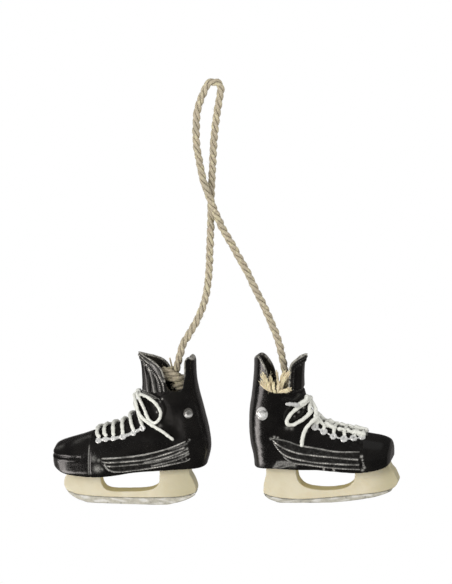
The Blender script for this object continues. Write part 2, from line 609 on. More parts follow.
def twine_finish(name, light, middle, deep, contrast=1.0):
    """Plant fibre: streaks run along each ply, whose own space is (round, along, ply number)."""
    m = Finish(name)
    ply = m.attribute("ply", "Vector")
    streak = m.noise(1.0, 5, 0.7, ply, (3.2, 0.42, 1.0))
    hair = m.noise(1.0, 3, 0.7, ply, (9.0, 0.8, 3.0))
    cloud = m.noise(6.0, 2)
    colour = m.mix(m.span(streak, 0.34, 0.62), deep, middle)
    colour = m.mix(m.span(hair, 0.45, 0.72), colour, light)
    colour = m.mix(m.span(cloud, 0.4, 0.75, 0.0, 0.45), colour, (middle[0] * 0.78, middle[1] * 0.84, middle[2] * 0.86))
    colour = m.mix(m.span(m.noise(1.5, 2, 0.6), 0.60, 0.72, 0.0, 0.45), colour, (middle[0] * 1.12, middle[1] * 0.86, middle[2] * 0.92))
    colour = m.mix(m.span(m.noise(2.2, 2, 0.6, m.place, (1.2, 1.0, 0.9)), 0.50, 0.66, 0.0, 0.5), colour,
                   (light[0] * 1.08, light[1] * 1.12, light[2] * 0.92))
    colour = m.mix(m.span(m.noise(1.1, 2, 0.6, m.place, (1.0, 1.3, 0.8)), 0.62, 0.74, 0.0, 0.5), colour, tuple(c * 0.45 for c in middle))
    colour = m.mix(m.math("MULTIPLY", m.attribute("dark"), contrast, True), colour, tuple(c * 0.33 for c in deep))
    m.set(Base_Color=colour, Roughness=0.82, Specular_IOR_Level=0.25, Sheen_Weight=0.25, Sheen_Roughness=0.5)
    m.set(Sheen_Tint=(0.9, 0.85, 0.7, 1.0))
    m.set(Normal=m.bump(m.math("ADD", m.math("MULTIPLY", streak, 0.5), hair), 0.7, 0.00022))
    return m.material


FINISH = {
    "boot": boot_finish("cast_black_gloss"),
    "tongue": boot_finish("cast_black_tongue", 0.20, (0.0095, 0.0085, 0.0085)),
    "band": boot_finish("cast_black_band", 0.30, (0.010, 0.0097, 0.0088)),
    "cream": cream_finish(),
    "runner": silver_finish("runner_paint", (0.60, 0.572, 0.48), 0.34, 0.22, 1.4, crease=0.9),
    "silver": silver_finish("bright_paint", (0.80, 0.80, 0.78), 0.22, 0.35, 1.1),
    "lace": lace_finish(),
    "twine": twine_finish("twine_fibre", (0.66, 0.585, 0.45), (0.47, 0.405, 0.295), (0.27, 0.225, 0.155)),
    "fray": twine_finish("frayed_fibre", (0.93, 0.85, 0.66), (0.85, 0.75, 0.53), (0.60, 0.46, 0.25), 0.6),
}


def finish(obj, name, look, body, nodes, matrix=None):
    obj.name = obj.data.name = name
    if matrix is not None:
        obj.data.transform(matrix)
        if matrix.to_3x3().determinant() < 0:
            obj.data.flip_normals()
    else:
        obj.data.transform(Matrix.Scale(MM, 4))
    for layer in ("silver", "wear", "dark", "inner", "shade", "matte"):
        if obj.data.attributes.get(layer) is None:
            paint(obj, layer, np.zeros(len(obj.data.vertices)))
    obj.data.shade_smooth()
    obj.data.materials.clear()
    obj.data.materials.append(FINISH[look])
    if body:
        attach(obj, body)
    if nodes:
        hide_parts(*nodes)
    return obj


# ---------------------------------------------------------------- the boot's form
def ring_shape(t):
    toe, shaft = max(0.0, 1 - t / 0.45), max(0.0, (t - 0.55) / 0.45)
    middle = 1 - toe - shaft if toe + shaft < 1 else 0.0
    return (0.80 * toe + 0.85 * middle + 0.95 * shaft, 0.14 * toe + 0.26 * middle + 0.02 * shaft,
            0.50 * toe + 0.55 * middle + 1.0 * shaft, 0.80 * toe + 0.95 * middle + 1.0 * shaft)


def boot_rings(skate, grow=0.0, count=64, points=72):
    rings = []
    for r in range(count):
        t = r / (count - 1)
        fu, fw, bu, bw, half = spline(skate["form"], t)
        bw -= 2.6 * (1 - step(bw, 20.5, 27.0))                  # the sole is cut flat afterwards
        front, back = np.array([fu, fw]), np.array([bu, bw])
        middle, reach = (front + back) / 2, (front - back) / 2
        length = np.linalg.norm(reach)
        reach = reach * (length + grow) / length
        if r == 0:
            middle = middle + np.array([grow, 0.0])
        side_p, lean, sole_p, top_p = ring_shape(t)
        widest = max(math.sin(a) ** side_p * (1 - lean * math.cos(a)) for a in np.linspace(0.01, 3.13, 60))
        inward = -1.3 * max(0.0, 1 - t / 0.35) ** 1.5
        ring = []
        for k in range(points):
            a = 2 * math.pi * k / points
            c, s = math.cos(a), math.sin(a)
            power = sole_p if c < 0 else top_p
            along_ring = math.copysign(abs(c) ** power, c)
            keen = side_p + (0.55 * step(t, 0.72, 1.0) * max(0.0, c) ** 1.5)   # the tongue comes to a soft point
            across = math.copysign(abs(s) ** keen, s) * (1 - lean * c) / widest * (half + grow)
            across *= 1 - 0.55 * step(t, 0.72, 1.0) * max(0.0, c) ** 2
            u, w = middle + reach * along_ring
            ring.append((u, across + inward, w))
        rings.append(ring)
    return rings


def skate_matrix(skate):
    """From millimetres (u, v towards the camera's side, w) to the row frame."""
    yaw, pitch, side = math.radians(YAW), math.radians(skate["pitch"]), -skate["side"]
    forward = Vector((side * math.cos(yaw), side * math.sin(yaw), 0))
    up = Vector((0, 0, 1))
    t = math.cos(pitch) * forward + math.sin(pitch) * up
    w = -math.sin(pitch) * forward + math.cos(pitch) * up
    n = Vector((math.sin(yaw), -math.cos(yaw), 0))
    turn = Matrix((t, n, w)).transposed().to_4x4()
    return Matrix.Translation(Vector(skate["origin"]) * MM) @ turn @ Matrix.Scale(MM, 4)


class Skin:
    def __init__(self, obj):
        self.tree = BVHTree.FromPolygons([v.co for v in obj.data.vertices],
                                         [tuple(p.vertices) for p in obj.data.polygons])

    def at(self, u, w, side):
        hit, normal, _, _ = self.tree.ray_cast(Vector((u, side * 40.0, w)), Vector((0, -side, 0)))
        if hit is None:
            hit, normal, _, _ = self.tree.find_nearest(Vector((u, side * 6.0, w)))
        return np.array(hit), np.array(normal)

    def nearest(self, p):
        hit, normal, _, _ = self.tree.find_nearest(Vector(p))
        return np.array(hit), np.array(normal)


def spots(uw, v, marks):
    """Painted dots: (u, w, radius, strength) on the outer side."""
    total = np.zeros(len(uw))
    for u, w, r, s in marks:
        d = np.linalg.norm(uw - np.array([u, w]), axis=1)
        total = np.maximum(total, s * np.exp(-(d / r) ** 2))
    return total * (v > 2)


def build_skate(label, S):
    body = label + "_skate"
    place = skate_matrix(S)

    def done(obj, name, look, nodes):
        return finish(obj, label + "_" + name, look, body, [label + "_" + n for n in nodes], place)

    form = loft("form", boot_rings(S))
    skin = Skin(form)

    def edge_u(w, which):
        fine = np.array([spline(S["form"], k / 300) for k in range(301)])
        fine = fine[fine[:, 3] > 22] if which == 2 else fine[150:]
        return float(np.interp(w, fine[:, which + 1], fine[:, which]))

    well = []
    for w in (S["well_floor"], S["well_floor"] + 0.7, S["well_floor"] + 1.8, 58, 62, 66, 69, 72, 76, 84):
        front, back = edge_u(w, 0) - WALL, edge_u(w, 2) + WALL
        shrink = {0: 0.7, 1: 0.92}.get(len(well), 1.0)
        well.append([((front + back) / 2 + (front - back) / 2 * shrink * math.cos(a),
                      (10.0 - WALL + 0.3) * shrink * math.sin(a)
                      * (1 - 0.5 * step(w, 60.0, 76.0) * max(0.0, math.cos(a)) ** 1.5), w)
                     for a in (2 * math.pi * k / 56 for k in range(56))])
    shell = combine(form, loft("well", well), "DIFFERENCE")
    notch = [tuple(p) for p in along(S["notch"][:-2], 90)] + list(S["notch"][-2:])
    cutter = prism("notch", notch, -30, 30)
    tilt, _ = read(cutter)
    tilt[:, 2] += 0.2 * (tilt[:, 1] - 8.0)                      # the far rim stands a little lower
    write(cutter, tilt)
    combine(shell, cutter, "DIFFERENCE")
    sole = [tuple(p) for p in along(S["sole"], 60)]
    combine(shell, prism("flat", sole + [(80, -5), (-20, -5)], -30, 30), "DIFFERENCE")
    base_line = sole

    # ------------------------------------------------ cast surface of the whole boot, parted afterwards
    remesh(shell, 0.30)
    keep_largest(shell)
    soften(shell, 8, 2)
    co, ed = read(shell)
    nn = normals(shell)
    uw, v = co[:, [0, 2]], co[:, 1]
    seam = S["seam"]
    au, aw, fu, fw, bu, bw = S["split"]
    slope_f, slope_b = (fw - aw) / (fu - au), (aw - bw) / (au - bu)
    in_tongue = step(uw[:, 1] - (aw + slope_f * (uw[:, 0] - au)), -0.15, 0.15) * (uw[:, 0] > au)
    in_guard = (uw[:, 1] > aw + slope_b * (uw[:, 0] - au)) * (uw[:, 0] <= au)
    in_cap = (uw[:, 0] > seam) * 1.0
    facing = np.maximum(step(nn[:, 1] * np.sign(v), -0.1, 0.25), step(nn[:, 0], 0.3, 0.6))
    move = 0.05 * waves(co, 5.0, 11) + 0.018 * waves(co, 1.6, 12)
    silver = np.zeros(len(co))

    # tongue: a padded rim, a stitched groove below it and upright ribs
    d, along_groove, _ = line_distance(uw, S["tongue_groove"])
    on = in_tongue * facing
    depth = 0.6 if label == "left" else 0.22
    move -= on * depth * np.exp(-(d / 0.42) ** 2)
    move += on * (0.25 if label == "left" else 0.1) * np.exp(-((d - 1.0) / 0.5) ** 2)
    dots = np.exp(-((d - 0.9) / 0.30) ** 2) * (np.cos(along_groove * 2 * math.pi / 0.95) > 0.1)
    silver = np.maximum(silver, on * dots * (0.8 if label == "left" else 0.08))
    for rib in S["ribs"]:
        dr, _, _ = line_distance(uw, rib)
        fade = on * step(d, 0.5, 1.4)
        move += fade * (0.85 * np.exp(-(dr / 1.05) ** 2) - 0.45 * np.exp(-((dr - 1.8) / 0.45) ** 2))
        rubbed = 0.5 + 0.5 * np.clip(waves(co, 1.6, 17), -1, 1)
        if label == "left":
            silver = np.maximum(silver, fade * np.exp(-(dr / 0.8) ** 2) * (0.16 + 0.24 * rubbed) * (uw[:, 0] < 20.6))
    rim_d, _, _ = line_distance(uw - np.column_stack([np.zeros(len(uw)), 0.2 * (v - 8.0)]), S["notch"][1:9])
    move += on * (0.35 * np.exp(-((rim_d - 1.9) / 0.8) ** 2) - 0.30 * np.exp(-((rim_d - 0.75) / 0.28) ** 2))
    if label == "left":
        silver = np.maximum(silver, on * 0.20 * np.exp(-((rim_d - 1.9) / 0.8) ** 2) * (uw[:, 0] < 24))
    if label == "left":
        # hem of the tongue over the lacing, and a fold in the quarter below the dip
        d2, _, _ = line_distance(uw, [(25.0, 58.4), (22.0, 57.9), (18.0, 57.0), (15.2, 55.8)])
        move -= facing * 0.35 * np.exp(-(d2 / 0.4) ** 2)
        silver = np.maximum(silver, 0.5 * facing * np.exp(-((d2 - 0.5) / 0.3) ** 2) * (v > 2) * (uw[:, 1] > 56.2))
        d3, _, _ = line_distance(uw, [(9.6, 60.2), (12.6, 58.6), (15.6, 56.6), (19.0, 54.2)])
        move -= 0.22 * np.exp(-(d3 / 0.5) ** 2) * facing * (1 - in_tongue)

    # toe cap: bumper groove, seam line
    if S["groove"]:
        d, _, _ = line_distance(uw, S["groove"])
        fade = step(uw[:, 0], 53.5, 57.0) * in_cap
        move -= fade * 0.65 * np.exp(-(d / 0.42) ** 2)
        move += fade * 0.20 * np.exp(-((d - 1.1) / 0.5) ** 2)
    shoulder = step(nn[:, 2], 0.45, 0.8) * step(uw[:, 1], 25, 29) * in_cap * np.exp(-((v - 4.5) / 1.6) ** 2)
    if label == "left":
        silver = np.maximum(silver, 0.10 * shoulder * (0.5 + 0.5 * np.clip(waves(co, 2.5, 18), -1, 1)))
    seam_d = np.abs(uw[:, 0] - seam)
    if label == "left":
        move -= 0.30 * np.exp(-((uw[:, 0] - seam + 0.25) / 0.30) ** 2) * facing * (uw[:, 1] < 40)
        line_on = 0.62 * np.exp(-((uw[:, 0] - seam - 0.25) / 0.21) ** 2) * (v > 2)
        silver = np.maximum(silver, line_on * step(uw[:, 1], 17.5, 19.5) * (1 - step(uw[:, 1], 30.5, 32.5)))
        silver = np.maximum(silver, spots(uw, v, [(45.8, 21.4, 1.5, 0.6), (47.6, 26.2, 1.3, 0.28), (45.0, 25.6, 0.7, 0.35),
                                                  (0.6, 36.4, 0.4, 0.5), (13.2, 57.0, 0.4, 0.8),
                                                  (14.4, 55.4, 0.4, 0.4), (15.4, 51.6, 0.5, 0.7), (16.6, 49.4, 0.4, 0.6), (19.6, 55.0, 0.5, 0.5),
                                                  (22.0, 56.4, 0.4, 0.4), (17.4, 52.6, 0.35, 0.4), (14.6, 49.6, 0.35, 0.5),
                                                  (43.6, 21.2, 0.7, 0.4), (15.2, 42.8, 0.9, 0.25)]))
    else:
        move -= 0.22 * np.exp(-(seam_d / 0.30) ** 2) * facing * (uw[:, 1] < 40)
        silver = np.maximum(silver, spots(uw, v, [(51.0, 27.8, 0.55, 1.0), (51.4, 26.2, 0.38, 0.9), (51.7, 24.8, 0.32, 0.8),
                                                  (51.9, 23.6, 0.32, 0.9), (52.1, 22.4, 0.5, 1.0), (51.2, 21.2, 0.6, 0.7)]))
        for u, w0, w1 in ((32.1, 19.4, 22.6), (37.1, 19.4, 24.6)):
            tick = np.exp(-((uw[:, 0] - u) / 0.36) ** 2) * step(uw[:, 1], w0 - 0.4, w0) * (1 - step(uw[:, 1], w1, w1 + 0.4))
            silver = np.maximum(silver, 1.3 * tick * (v > 2))
        # facets at the heel's foot catch pale paint
        for line_pts, wide, strong in (([(9.4, 24.4), (13.2, 24.6), (17.2, 24.2)], 0.5, 0.5),
                                       ([(8.2, 21.6), (10.6, 23.4), (14.6, 23.3), (17.6, 23.0)], 0.9, 0.38),
                                       ([(7.0, 21.4), (9.4, 24.4)], 0.35, 0.5), ([(10.2, 21.4), (17.8, 23.6)], 0.3, 0.5)):
            d, _, _ = line_distance(uw, line_pts)
            silver = np.maximum(silver, strong * np.exp(-(d / wide) ** 2) * (v > 2))
        silver = np.maximum(silver, spots(uw, v, [(6.9, 36.4, 0.5, 0.9), (8.6, 37.3, 0.45, 0.8), (10.2, 36.9, 0.4, 0.7),
                                                  (15.0, 41.6, 0.9, 0.3), (17.0, 41.2, 0.9, 0.3), (24.0, 39.5, 0.6, 0.4),
                                                  (20.6, 48.6, 0.5, 0.8), (23.0, 50.2, 0.5, 0.8), (25.4, 51.4, 0.45, 0.7),
                                                  (18.6, 46.8, 0.4, 0.5), (24.6, 45.8, 0.45, 0.7), (27.0, 47.2, 0.45, 0.7),
                                                  (21.8, 53.9, 0.4, 0.5), (16.0, 43.0, 0.45, 0.5)]))
    top = step(nn[:, 2], 0.5, 0.8) * (uw[:, 1] > 27) * (uw[:, 1] < 52) * (1 - in_cap) * (uw[:, 0] > 20)
    move += 0.15 * top * waves(co, 1.3, 31)                     # quilting under the laces
    co = co + nn * move[:, None]
    write(shell, co)
    sharp = convexity(shell, 3)
    high = step(uw[:, 1], 58, 71)
    wear = step(sharp, 0.07, 0.20) * (0.10 + 0.95 * high)
    back_rim, _, _ = line_distance(uw - np.column_stack([np.zeros(len(uw)), 0.2 * (v - 8.0)]), S["notch"][-11:-4])
    rim = step((0.8 if label == "left" else 1.25) - rim_d, 0.0, 0.6) * in_tongue * (0.8 if label == "left" else 1.0)
    wear = np.maximum(wear, step(0.95 - back_rim, 0.0, 0.6) * in_guard * step(uw[:, 1], 66, 71) * 0.8)
    wear = np.maximum(wear, rim)
    wear = np.maximum(wear, in_guard * step(uw[:, 1] - 0.2 * (v - 8.0), 74.6, 78.2) * step(nn[:, 2], 0.1, 0.6) * 0.6)
    around_bow = (step(uw[:, 0], 1.0, 7.0) * (1 - step(uw[:, 0], 27.0, 31.0)) * step(uw[:, 1], 33.0, 38.0)
                  * (1 - step(uw[:, 1], 60.0, 64.0)) * (1 - in_tongue) * (v > 1.5) * (label == "left"))
    front_edge = in_tongue * step(uw[:, 0], 20.8, 22.6) * (1 - step(uw[:, 1], 74.0, 77.0)) * (label == "left")
    around_bow = np.maximum(around_bow, 0.8 * front_edge)
    quilt = top * (0.5 + 0.5 * step(waves(co, 0.9, 33), -0.2, 0.4))
    paint(shell, "matte", np.clip(np.maximum(around_bow, quilt), 0, 1) * 0.9)
    paint(shell, "silver", np.clip(silver, 0, 1))
    paint(shell, "wear", np.clip(wear, 0, 1))

    def part(name, planes, look):
        """The closed piece of the boot on the kept side of each plane (a point u, w and the removed direction)."""
        bm = bmesh.new()
        bm.from_mesh(shell.data)
        for (pu, pw), (nu, nw) in planes:
            made = bmesh.ops.bisect_plane(bm, geom=bm.verts[:] + bm.edges[:] + bm.faces[:], dist=1e-5,
                                          plane_co=(pu, 0, pw), plane_no=(nu, 0, nw), clear_outer=True)
            edges = [e for e in made["geom_cut"] if isinstance(e, bmesh.types.BMEdge)]
            bmesh.ops.triangle_fill(bm, edges=edges, use_beauty=False)
        bmesh.ops.recalc_face_normals(bm, faces=bm.faces)
        mesh = bpy.data.meshes.new(name)
        bm.to_mesh(mesh)
        bm.free()
        piece = bpy.data.objects.new(name, mesh)
        bpy.context.scene.collection.objects.link(piece)
        keep_largest(piece)
        piece = done(piece, name, look, [name])
        piece.data.set_sharp_from_angle(angle=math.radians(75))
        return piece

    f_up, f_down = (-slope_f, 1.0), (slope_f, -1.0)             # directions across the two upper joints
    b_up, b_down = (-slope_b, 1.0), (slope_b, -1.0)
    pu0, pw0, pu1, pw1 = S["sole_plane"]
    slope_s = (pw1 - pw0) / (pu1 - pu0)
    s_up, s_down = (-slope_s, 1.0), (slope_s, -1.0)
    part("boot_upper", [((au, aw), f_up), ((au, aw), b_up), ((seam, 0), (1.0, 0.0)), ((pu0, pw0), s_down)], "boot")
    part("toe_cap", [((seam, 0), (-1.0, 0.0)), ((pu0, pw0), s_down)], "boot")
    part("outsole", [((pu0, pw0), s_up)], "boot")
    part("tongue", [((au, aw), f_down), ((au, 0), (-1.0, 0.0))], "tongue")
    part("tendon_guard", [((au, aw), b_down), ((au, 0), (1.0, 0.0))], "boot")
    bpy.data.objects.remove(shell, do_unlink=True)

    # ------------------------------------------------ blade holder
    line = [tuple(p) for p in along(S["joint_line"], 40)]
    outline = ([tuple(p) for p in along(S["holder"], 16)] + line[1:-1] + [tuple(p) for p in along(S["holder_front"], 16)])
    holder = prism("holder", outline, -HOLDER_T / 2, HOLDER_T / 2)
    window_line = along(S["window"], 60)
    combine(holder, prism("window", [tuple(p) for p in window_line], -9, 9), "DIFFERENCE")
    lift = [(u, w + 0.3) for u, w in base_line] + [(80, 90), (-20, 90)]
    combine(holder, prism("lift", lift, -9, 9), "DIFFERENCE")
    remesh(holder, 0.3)
    keep_largest(holder)
    soften(holder, 8, 3)
    co, ed = read(holder)
    nn = normals(holder)
    uw = co[:, [0, 2]]
    flare = 0.35 * step(uw[:, 1], 11.0, 17.0)
    co[:, 1] *= 1 + flare * 0.12
    co = co + nn * (0.06 * waves(co, 6.0, 21) + 0.02 * waves(co, 1.8, 22))[:, None]
    write(holder, co)
    d, _, _ = line_distance(uw, S["window"], 80)
    inner = step(1.1 - d, 0.0, 0.7) * step(2.95 - np.abs(co[:, 1]), 0.0, 0.5)
    jd, _, _ = line_distance(uw, S["joint_line"], 80)
    paint(holder, "inner", np.clip(inner, 0, 1))
    paint(holder, "shade", (0.75 * (1 - step(uw[:, 0], 2.0, 24.0)) if label == "left" else 0.75 * step(uw[:, 0], 48, 64)) * step(uw[:, 1], 0, 5))
    paint(holder, "dark", np.clip(np.exp(-(jd / 0.28) ** 2), 0, 1))
    paint(holder, "wear", step(convexity(holder, 2), 0.10, 0.25))
    done(holder, "blade_holder", "cream", ["blade_holder"])

    # ------------------------------------------------ runner
    top = [(u, w - 0.12) for u, w in line]
    under = [tuple(p) for p in along(S["base"], 50)]
    runner = prism("runner", under + top[::-1], -RUNNER_T / 2, RUNNER_T / 2)
    remesh(runner, 0.22)
    keep_largest(runner)
    soften(runner, 6, 2)
    co, ed = read(runner)
    nn = normals(runner)
    side_face = step(np.abs(nn[:, 1]), 0.6, 0.9)
    co = co + nn * (0.05 * waves(co, 1.5, 41) + 0.04 * waves(co, 4.0, 42))[:, None] * (0.4 + 0.6 * side_face[:, None])
    jd, _, _ = line_distance(co[:, [0, 2]], S["joint_line"], 80)
    bd, _, _ = line_distance(co[:, [0, 2]], S["base"], 80)
    write(runner, co)
    stretched = co * np.array([0.22, 1.0, 1.3])
    paint(runner, "dark", np.clip(0.9 * np.exp(-(jd / 0.32) ** 2) + 0.45 * step(waves(co, 1.1, 43), 0.8, 1.3)
                                  + 0.75 * np.exp(-(bd / 0.28) ** 2) * step(waves(co, 5.0, 45), -0.8, 0.4), 0, 1))
    paint(runner, "wear", np.clip(step(convexity(runner, 2), 0.10, 0.25) * 0.4
                                  + 0.8 * step(waves(stretched, 0.7, 44), -0.3, 1.2) * step(bd, 0.3, 0.7), 0, 1))
    done(runner, "runner", "runner", ["runner"])

    # ------------------------------------------------ ankle rivets: a low dome with a worn flange
    for where, sign in (("lateral", 1), ("medial", -1)):
        p, n = skin.at(*S["rivet"], sign)
        ru, rw = S["rivet_size"]
        prof = [(0.0, 1.55), (0.3, 1.52), (0.55, 1.38), (0.72, 1.12), (0.82, 0.86), (0.86, 0.70), (0.93, 0.74),
                (1.0, 0.60), (1.04, 0.3), (1.04, -0.7)]
        prof = along(prof, 30)
        verts, faces, sides = [], [], 48
        for r, h in prof:
            for k in range(sides):
                a = 2 * math.pi * k / sides
                verts.append((r * ru * math.cos(a), r * rw * math.sin(a), h))
        for r in range(len(prof) - 1):
            for k in range(sides):
                a, c = r * sides + k, r * sides + (k + 1) % sides
                faces.append([a, a + sides, c + sides, c])
        faces.append(list(range((len(prof) - 1) * sides, len(prof) * sides)))
        nv = Vector(n)
        upv = Vector((0, 0, 1)) - nv * nv.z
        upv.normalize()
        side_v = upv.cross(nv)
        turn = np.array([side_v, upv, nv]).T
        verts = np.array(verts)
        verts[:, 2] += 0.05 * waves(verts, 1.2, 51)
        rivet = mesh_object("rivet", verts @ turn.T + p, faces)
        write(rivet, read(rivet)[0] + normals(rivet) * 0.035 * waves(read(rivet)[0], 0.9, 52)[:, None])
        radius = np.linalg.norm((read(rivet)[0] - p) - np.outer((read(rivet)[0] - p) @ n, n), axis=1) / ru
        height = ((read(rivet)[0] - p) @ np.array(upv)) / rw
        ring_dark = 0.9 * np.exp(-((radius - 0.86) / 0.06) ** 2) + 0.6 * step(radius, 1.02, 1.12)
        if label == "left":
            shade = (0.88 + 0.10 * waves(read(rivet)[0], 0.8, 53)
                     - 0.85 * np.exp(-((height + 0.50) / 0.24) ** 2) - 0.25 * np.exp(-((radius - 0.7) / 0.12) ** 2))
            paint(rivet, "wear", 0.8 * np.exp(-((height + 0.45) / 0.25) ** 2))
        else:
            shade = 0.55 * np.exp(-((height - 0.42) / 0.20) ** 2)
            paint(rivet, "wear", 0.7 * (1 - np.exp(-((height - 0.42) / 0.25) ** 2)))
        paint(rivet, "dark", np.clip(ring_dark + shade, 0, 1))
        done(rivet, "ankle_rivet_" + where, "silver", ["ankle_rivet_" + where])

    # ------------------------------------------------ eyelets: cast rings that run together in a scalloped strip
    for where, sign in (("lateral", 1), ("medial", -1)):
        parts = []
        path = [skin.at(u, w, sign) for u, w in along(S["eyelets"], 40)]
        parts.append(tube([p + n * 0.35 + np.array([0, 0, 0.2]) for p, n in path], 0.75 if label == "left" else 0.45, 10, up=(0, 0, 1), rough=0.16, seed=61))
        for k, (u, w) in enumerate(S["eyelets"]):
            p, n = skin.at(u, w, sign)
            grow = 1.0 + 0.12 * math.sin(k * 2.3 + (1 if label == "left" else 4))
            big = 1.0 if label == "left" else 1.2
            parts.append(ring_of(p + n * 0.70, n, 0.92 * grow * big, 0.60 * big))
            turn = Vector((0, 0, 1)).rotation_difference(Vector(n)).to_matrix()
            parts.append(ball(p + n * 0.3, (1.12 * grow, 1.12 * grow, 0.62), turn))
        strip = gather("strip", parts)
        remesh(strip, 0.15)
        soften(strip, 2, 1)
        co, ed = read(strip)
        co = co + normals(strip) * (0.10 * waves(co, 0.9, 62) + 0.04 * waves(co, 0.4, 63))[:, None]
        write(strip, co)
        sharp = convexity(strip, 2)
        paint(strip, "dark", np.clip(step(-sharp, 0.05, 0.16), 0, 1) * 0.8)
        paint(strip, "wear", step(sharp, 0.04, 0.14))
        done(strip, "eyelets_" + where, "silver", ["eyelets_" + where])

    # ------------------------------------------------ lace: cast strands from side to side over the vamp
    ridge = [(r[0], r[1]) for r in S["form"]]
    parts = []
    thick = 0.94 if label == "left" else 0.98

    def rung(u_a, w_a, u_b, w_b, u_top, radius, seed, lift=0.35, shift=0.0):
        """A strand from the near eyelet a, over the ridge at u_top, to the far eyelet b."""
        top_w = float(height_at(ridge[:9], u_top))
        arc = []
        for j in range(29):
            a = (j / 28 - 0.5) * 2
            eu, ew = (u_a, w_a) if a < 0 else (u_b, w_b)
            reach = skin.at(eu, ew + 1.2, 1 if a < 0 else -1)[0]
            v = -abs(reach[1]) * math.sin(a * math.pi / 2 * 0.98)
            mix = 1 - abs(a) ** 2.4
            p, n = skin.nearest((eu + (u_top - eu) * mix + shift * mix, v, (ew + 0.9) + (top_w - ew - 0.9) * mix + 0.6))
            arc.append(p + n * (radius * 0.75 + lift))
        parts.append(tube(arc, radius, 12, up=(0.3, 0.2, 1), rough=0.10, seed=seed))

    eyes = S["eyelets"]
    for k, u_top in enumerate(S["rungs"]):
        rung(*eyes[k], *eyes[k], u_top, thick if label == "left" else 0.8, 70 + k)
    if label == "right":
        # heavy, uneven lumps where the strands meet over the ridge, on both sides of it
        lumps = [([(35.2, 44.0), (36.5, 43.4), (37.8, 42.4)], 1.2), ([(37.1, 42.2), (37.2, 39.4), (37.0, 37.0)], 0.82),
                 ([(32.6, 46.2), (32.2, 43.8), (31.9, 41.0), (32.0, 39.0)], 0.92),
                 ([(40.2, 41.2), (41.3, 41.4), (42.4, 41.4)], 1.15), ([(41.8, 41.0), (41.4, 38.0), (42.1, 36.0)], 0.85),
                 ([(44.6, 41.2), (45.4, 41.0), (46.4, 40.6)], 1.0), ([(44.8, 41.0), (43.9, 39.4), (43.0, 38.0)], 0.6),
                 ([(47.4, 39.8), (49.3, 39.2), (51.4, 37.8)], 1.35), ([(47.0, 39.2), (46.8, 36.0)], 0.85),
                 ([(49.6, 38.8), (50.2, 35.6)], 0.85),
                 ([(28.6, 44.6), (30.0, 46.4), (32.2, 46.8)], 1.1), ([(29.2, 43.6), (28.2, 41.6)], 1.0)]
        for k, (points, size) in enumerate(lumps):
            for sign in (1, -1):
                spots_on = []
                for u, w in along(points, 12):
                    p, n = skin.at(u, w, sign)
                    if abs(p[2] - w) > 1.2 or p[1] * sign < 1.5:
                        p, n = skin.nearest((u, 3.5 * sign, w))
                    spots_on.append(p + n * size * 0.85)
                width = size * np.interp(np.linspace(0, 1, 12), (0, 0.4, 1), (1.2, 1.0, 0.95))
                parts.append(tube(spots_on, width, 10, up=(0, 1, 0.2), rough=0.22, seed=900 + k))
    lace = gather("lace", parts)
    remesh(lace, 0.2)
    soften(lace, 2, 1)
    co, ed = read(lace)
    co = co + normals(lace) * (0.09 * waves(co, 1.2, 71) + 0.04 * waves(co, 0.5, 72))[:, None]
    write(lace, co)
    sharp = convexity(lace, 2)
    paint(lace, "dark", step(-sharp, 0.02, 0.12))
    paint(lace, "wear", step(sharp, 0.05, 0.16))
    done(lace, "lace", "lace", ["lace"])

    # ------------------------------------------------ bow
    def on_skin(points, lift, count=60):
        made = []
        fine = along(points, count)
        for k, (u, w) in enumerate(fine):
            p, n = skin.at(u, w, 1)
            if abs(p[2] - w) > 1.5 or p[1] < 1.0:
                p, n = skin.nearest((u, 3.0, w))
            made.append(p + n * float(np.interp(k / (count - 1), (0, 0.6, 1), lift)))
        made = np.array(made)
        for _ in range(6):
            made[1:-1] = (made[:-2] + made[2:] + 2 * made[1:-1]) / 4
        return made

    ku, kw = S["bow_knot"]
    knot_p, knot_n = skin.nearest((ku + 2, 0.8, kw))
    centre = knot_p + knot_n * 1.4
    size = 0.80 if label == "left" else 0.98
    loop = np.vstack([[centre], on_skin(S["bow_loop"][1:-1], (2.6, 2.4, 2.6)), [centre + np.array([0, 0.9, -0.5])]])
    tail = np.vstack([[centre], on_skin(S["bow_tail"][1:], (3.2, 3.2, 1.3))])
    parts = [tube(along(loop, 110), size, 12, up=(0, 1, 0.1), rough=0.09, seed=100),
             tube(along(tail, 80), size, 12, up=(0, 1, 0.1), rough=0.09, seed=101),
             ball(knot_p + knot_n * 1.4, (1.1, 1.8, 1.1))]
    e = np.cross(knot_n, (0, 1.0, 0))
    for a in (-0.9, 0.0, 0.9):
        ring_centre = knot_p + knot_n * 1.4 + np.array([0, a, 0])
        parts.append(ring_of(ring_centre, np.array([0.25 * a, 1.0, 0.2]), 1.05, 0.45))
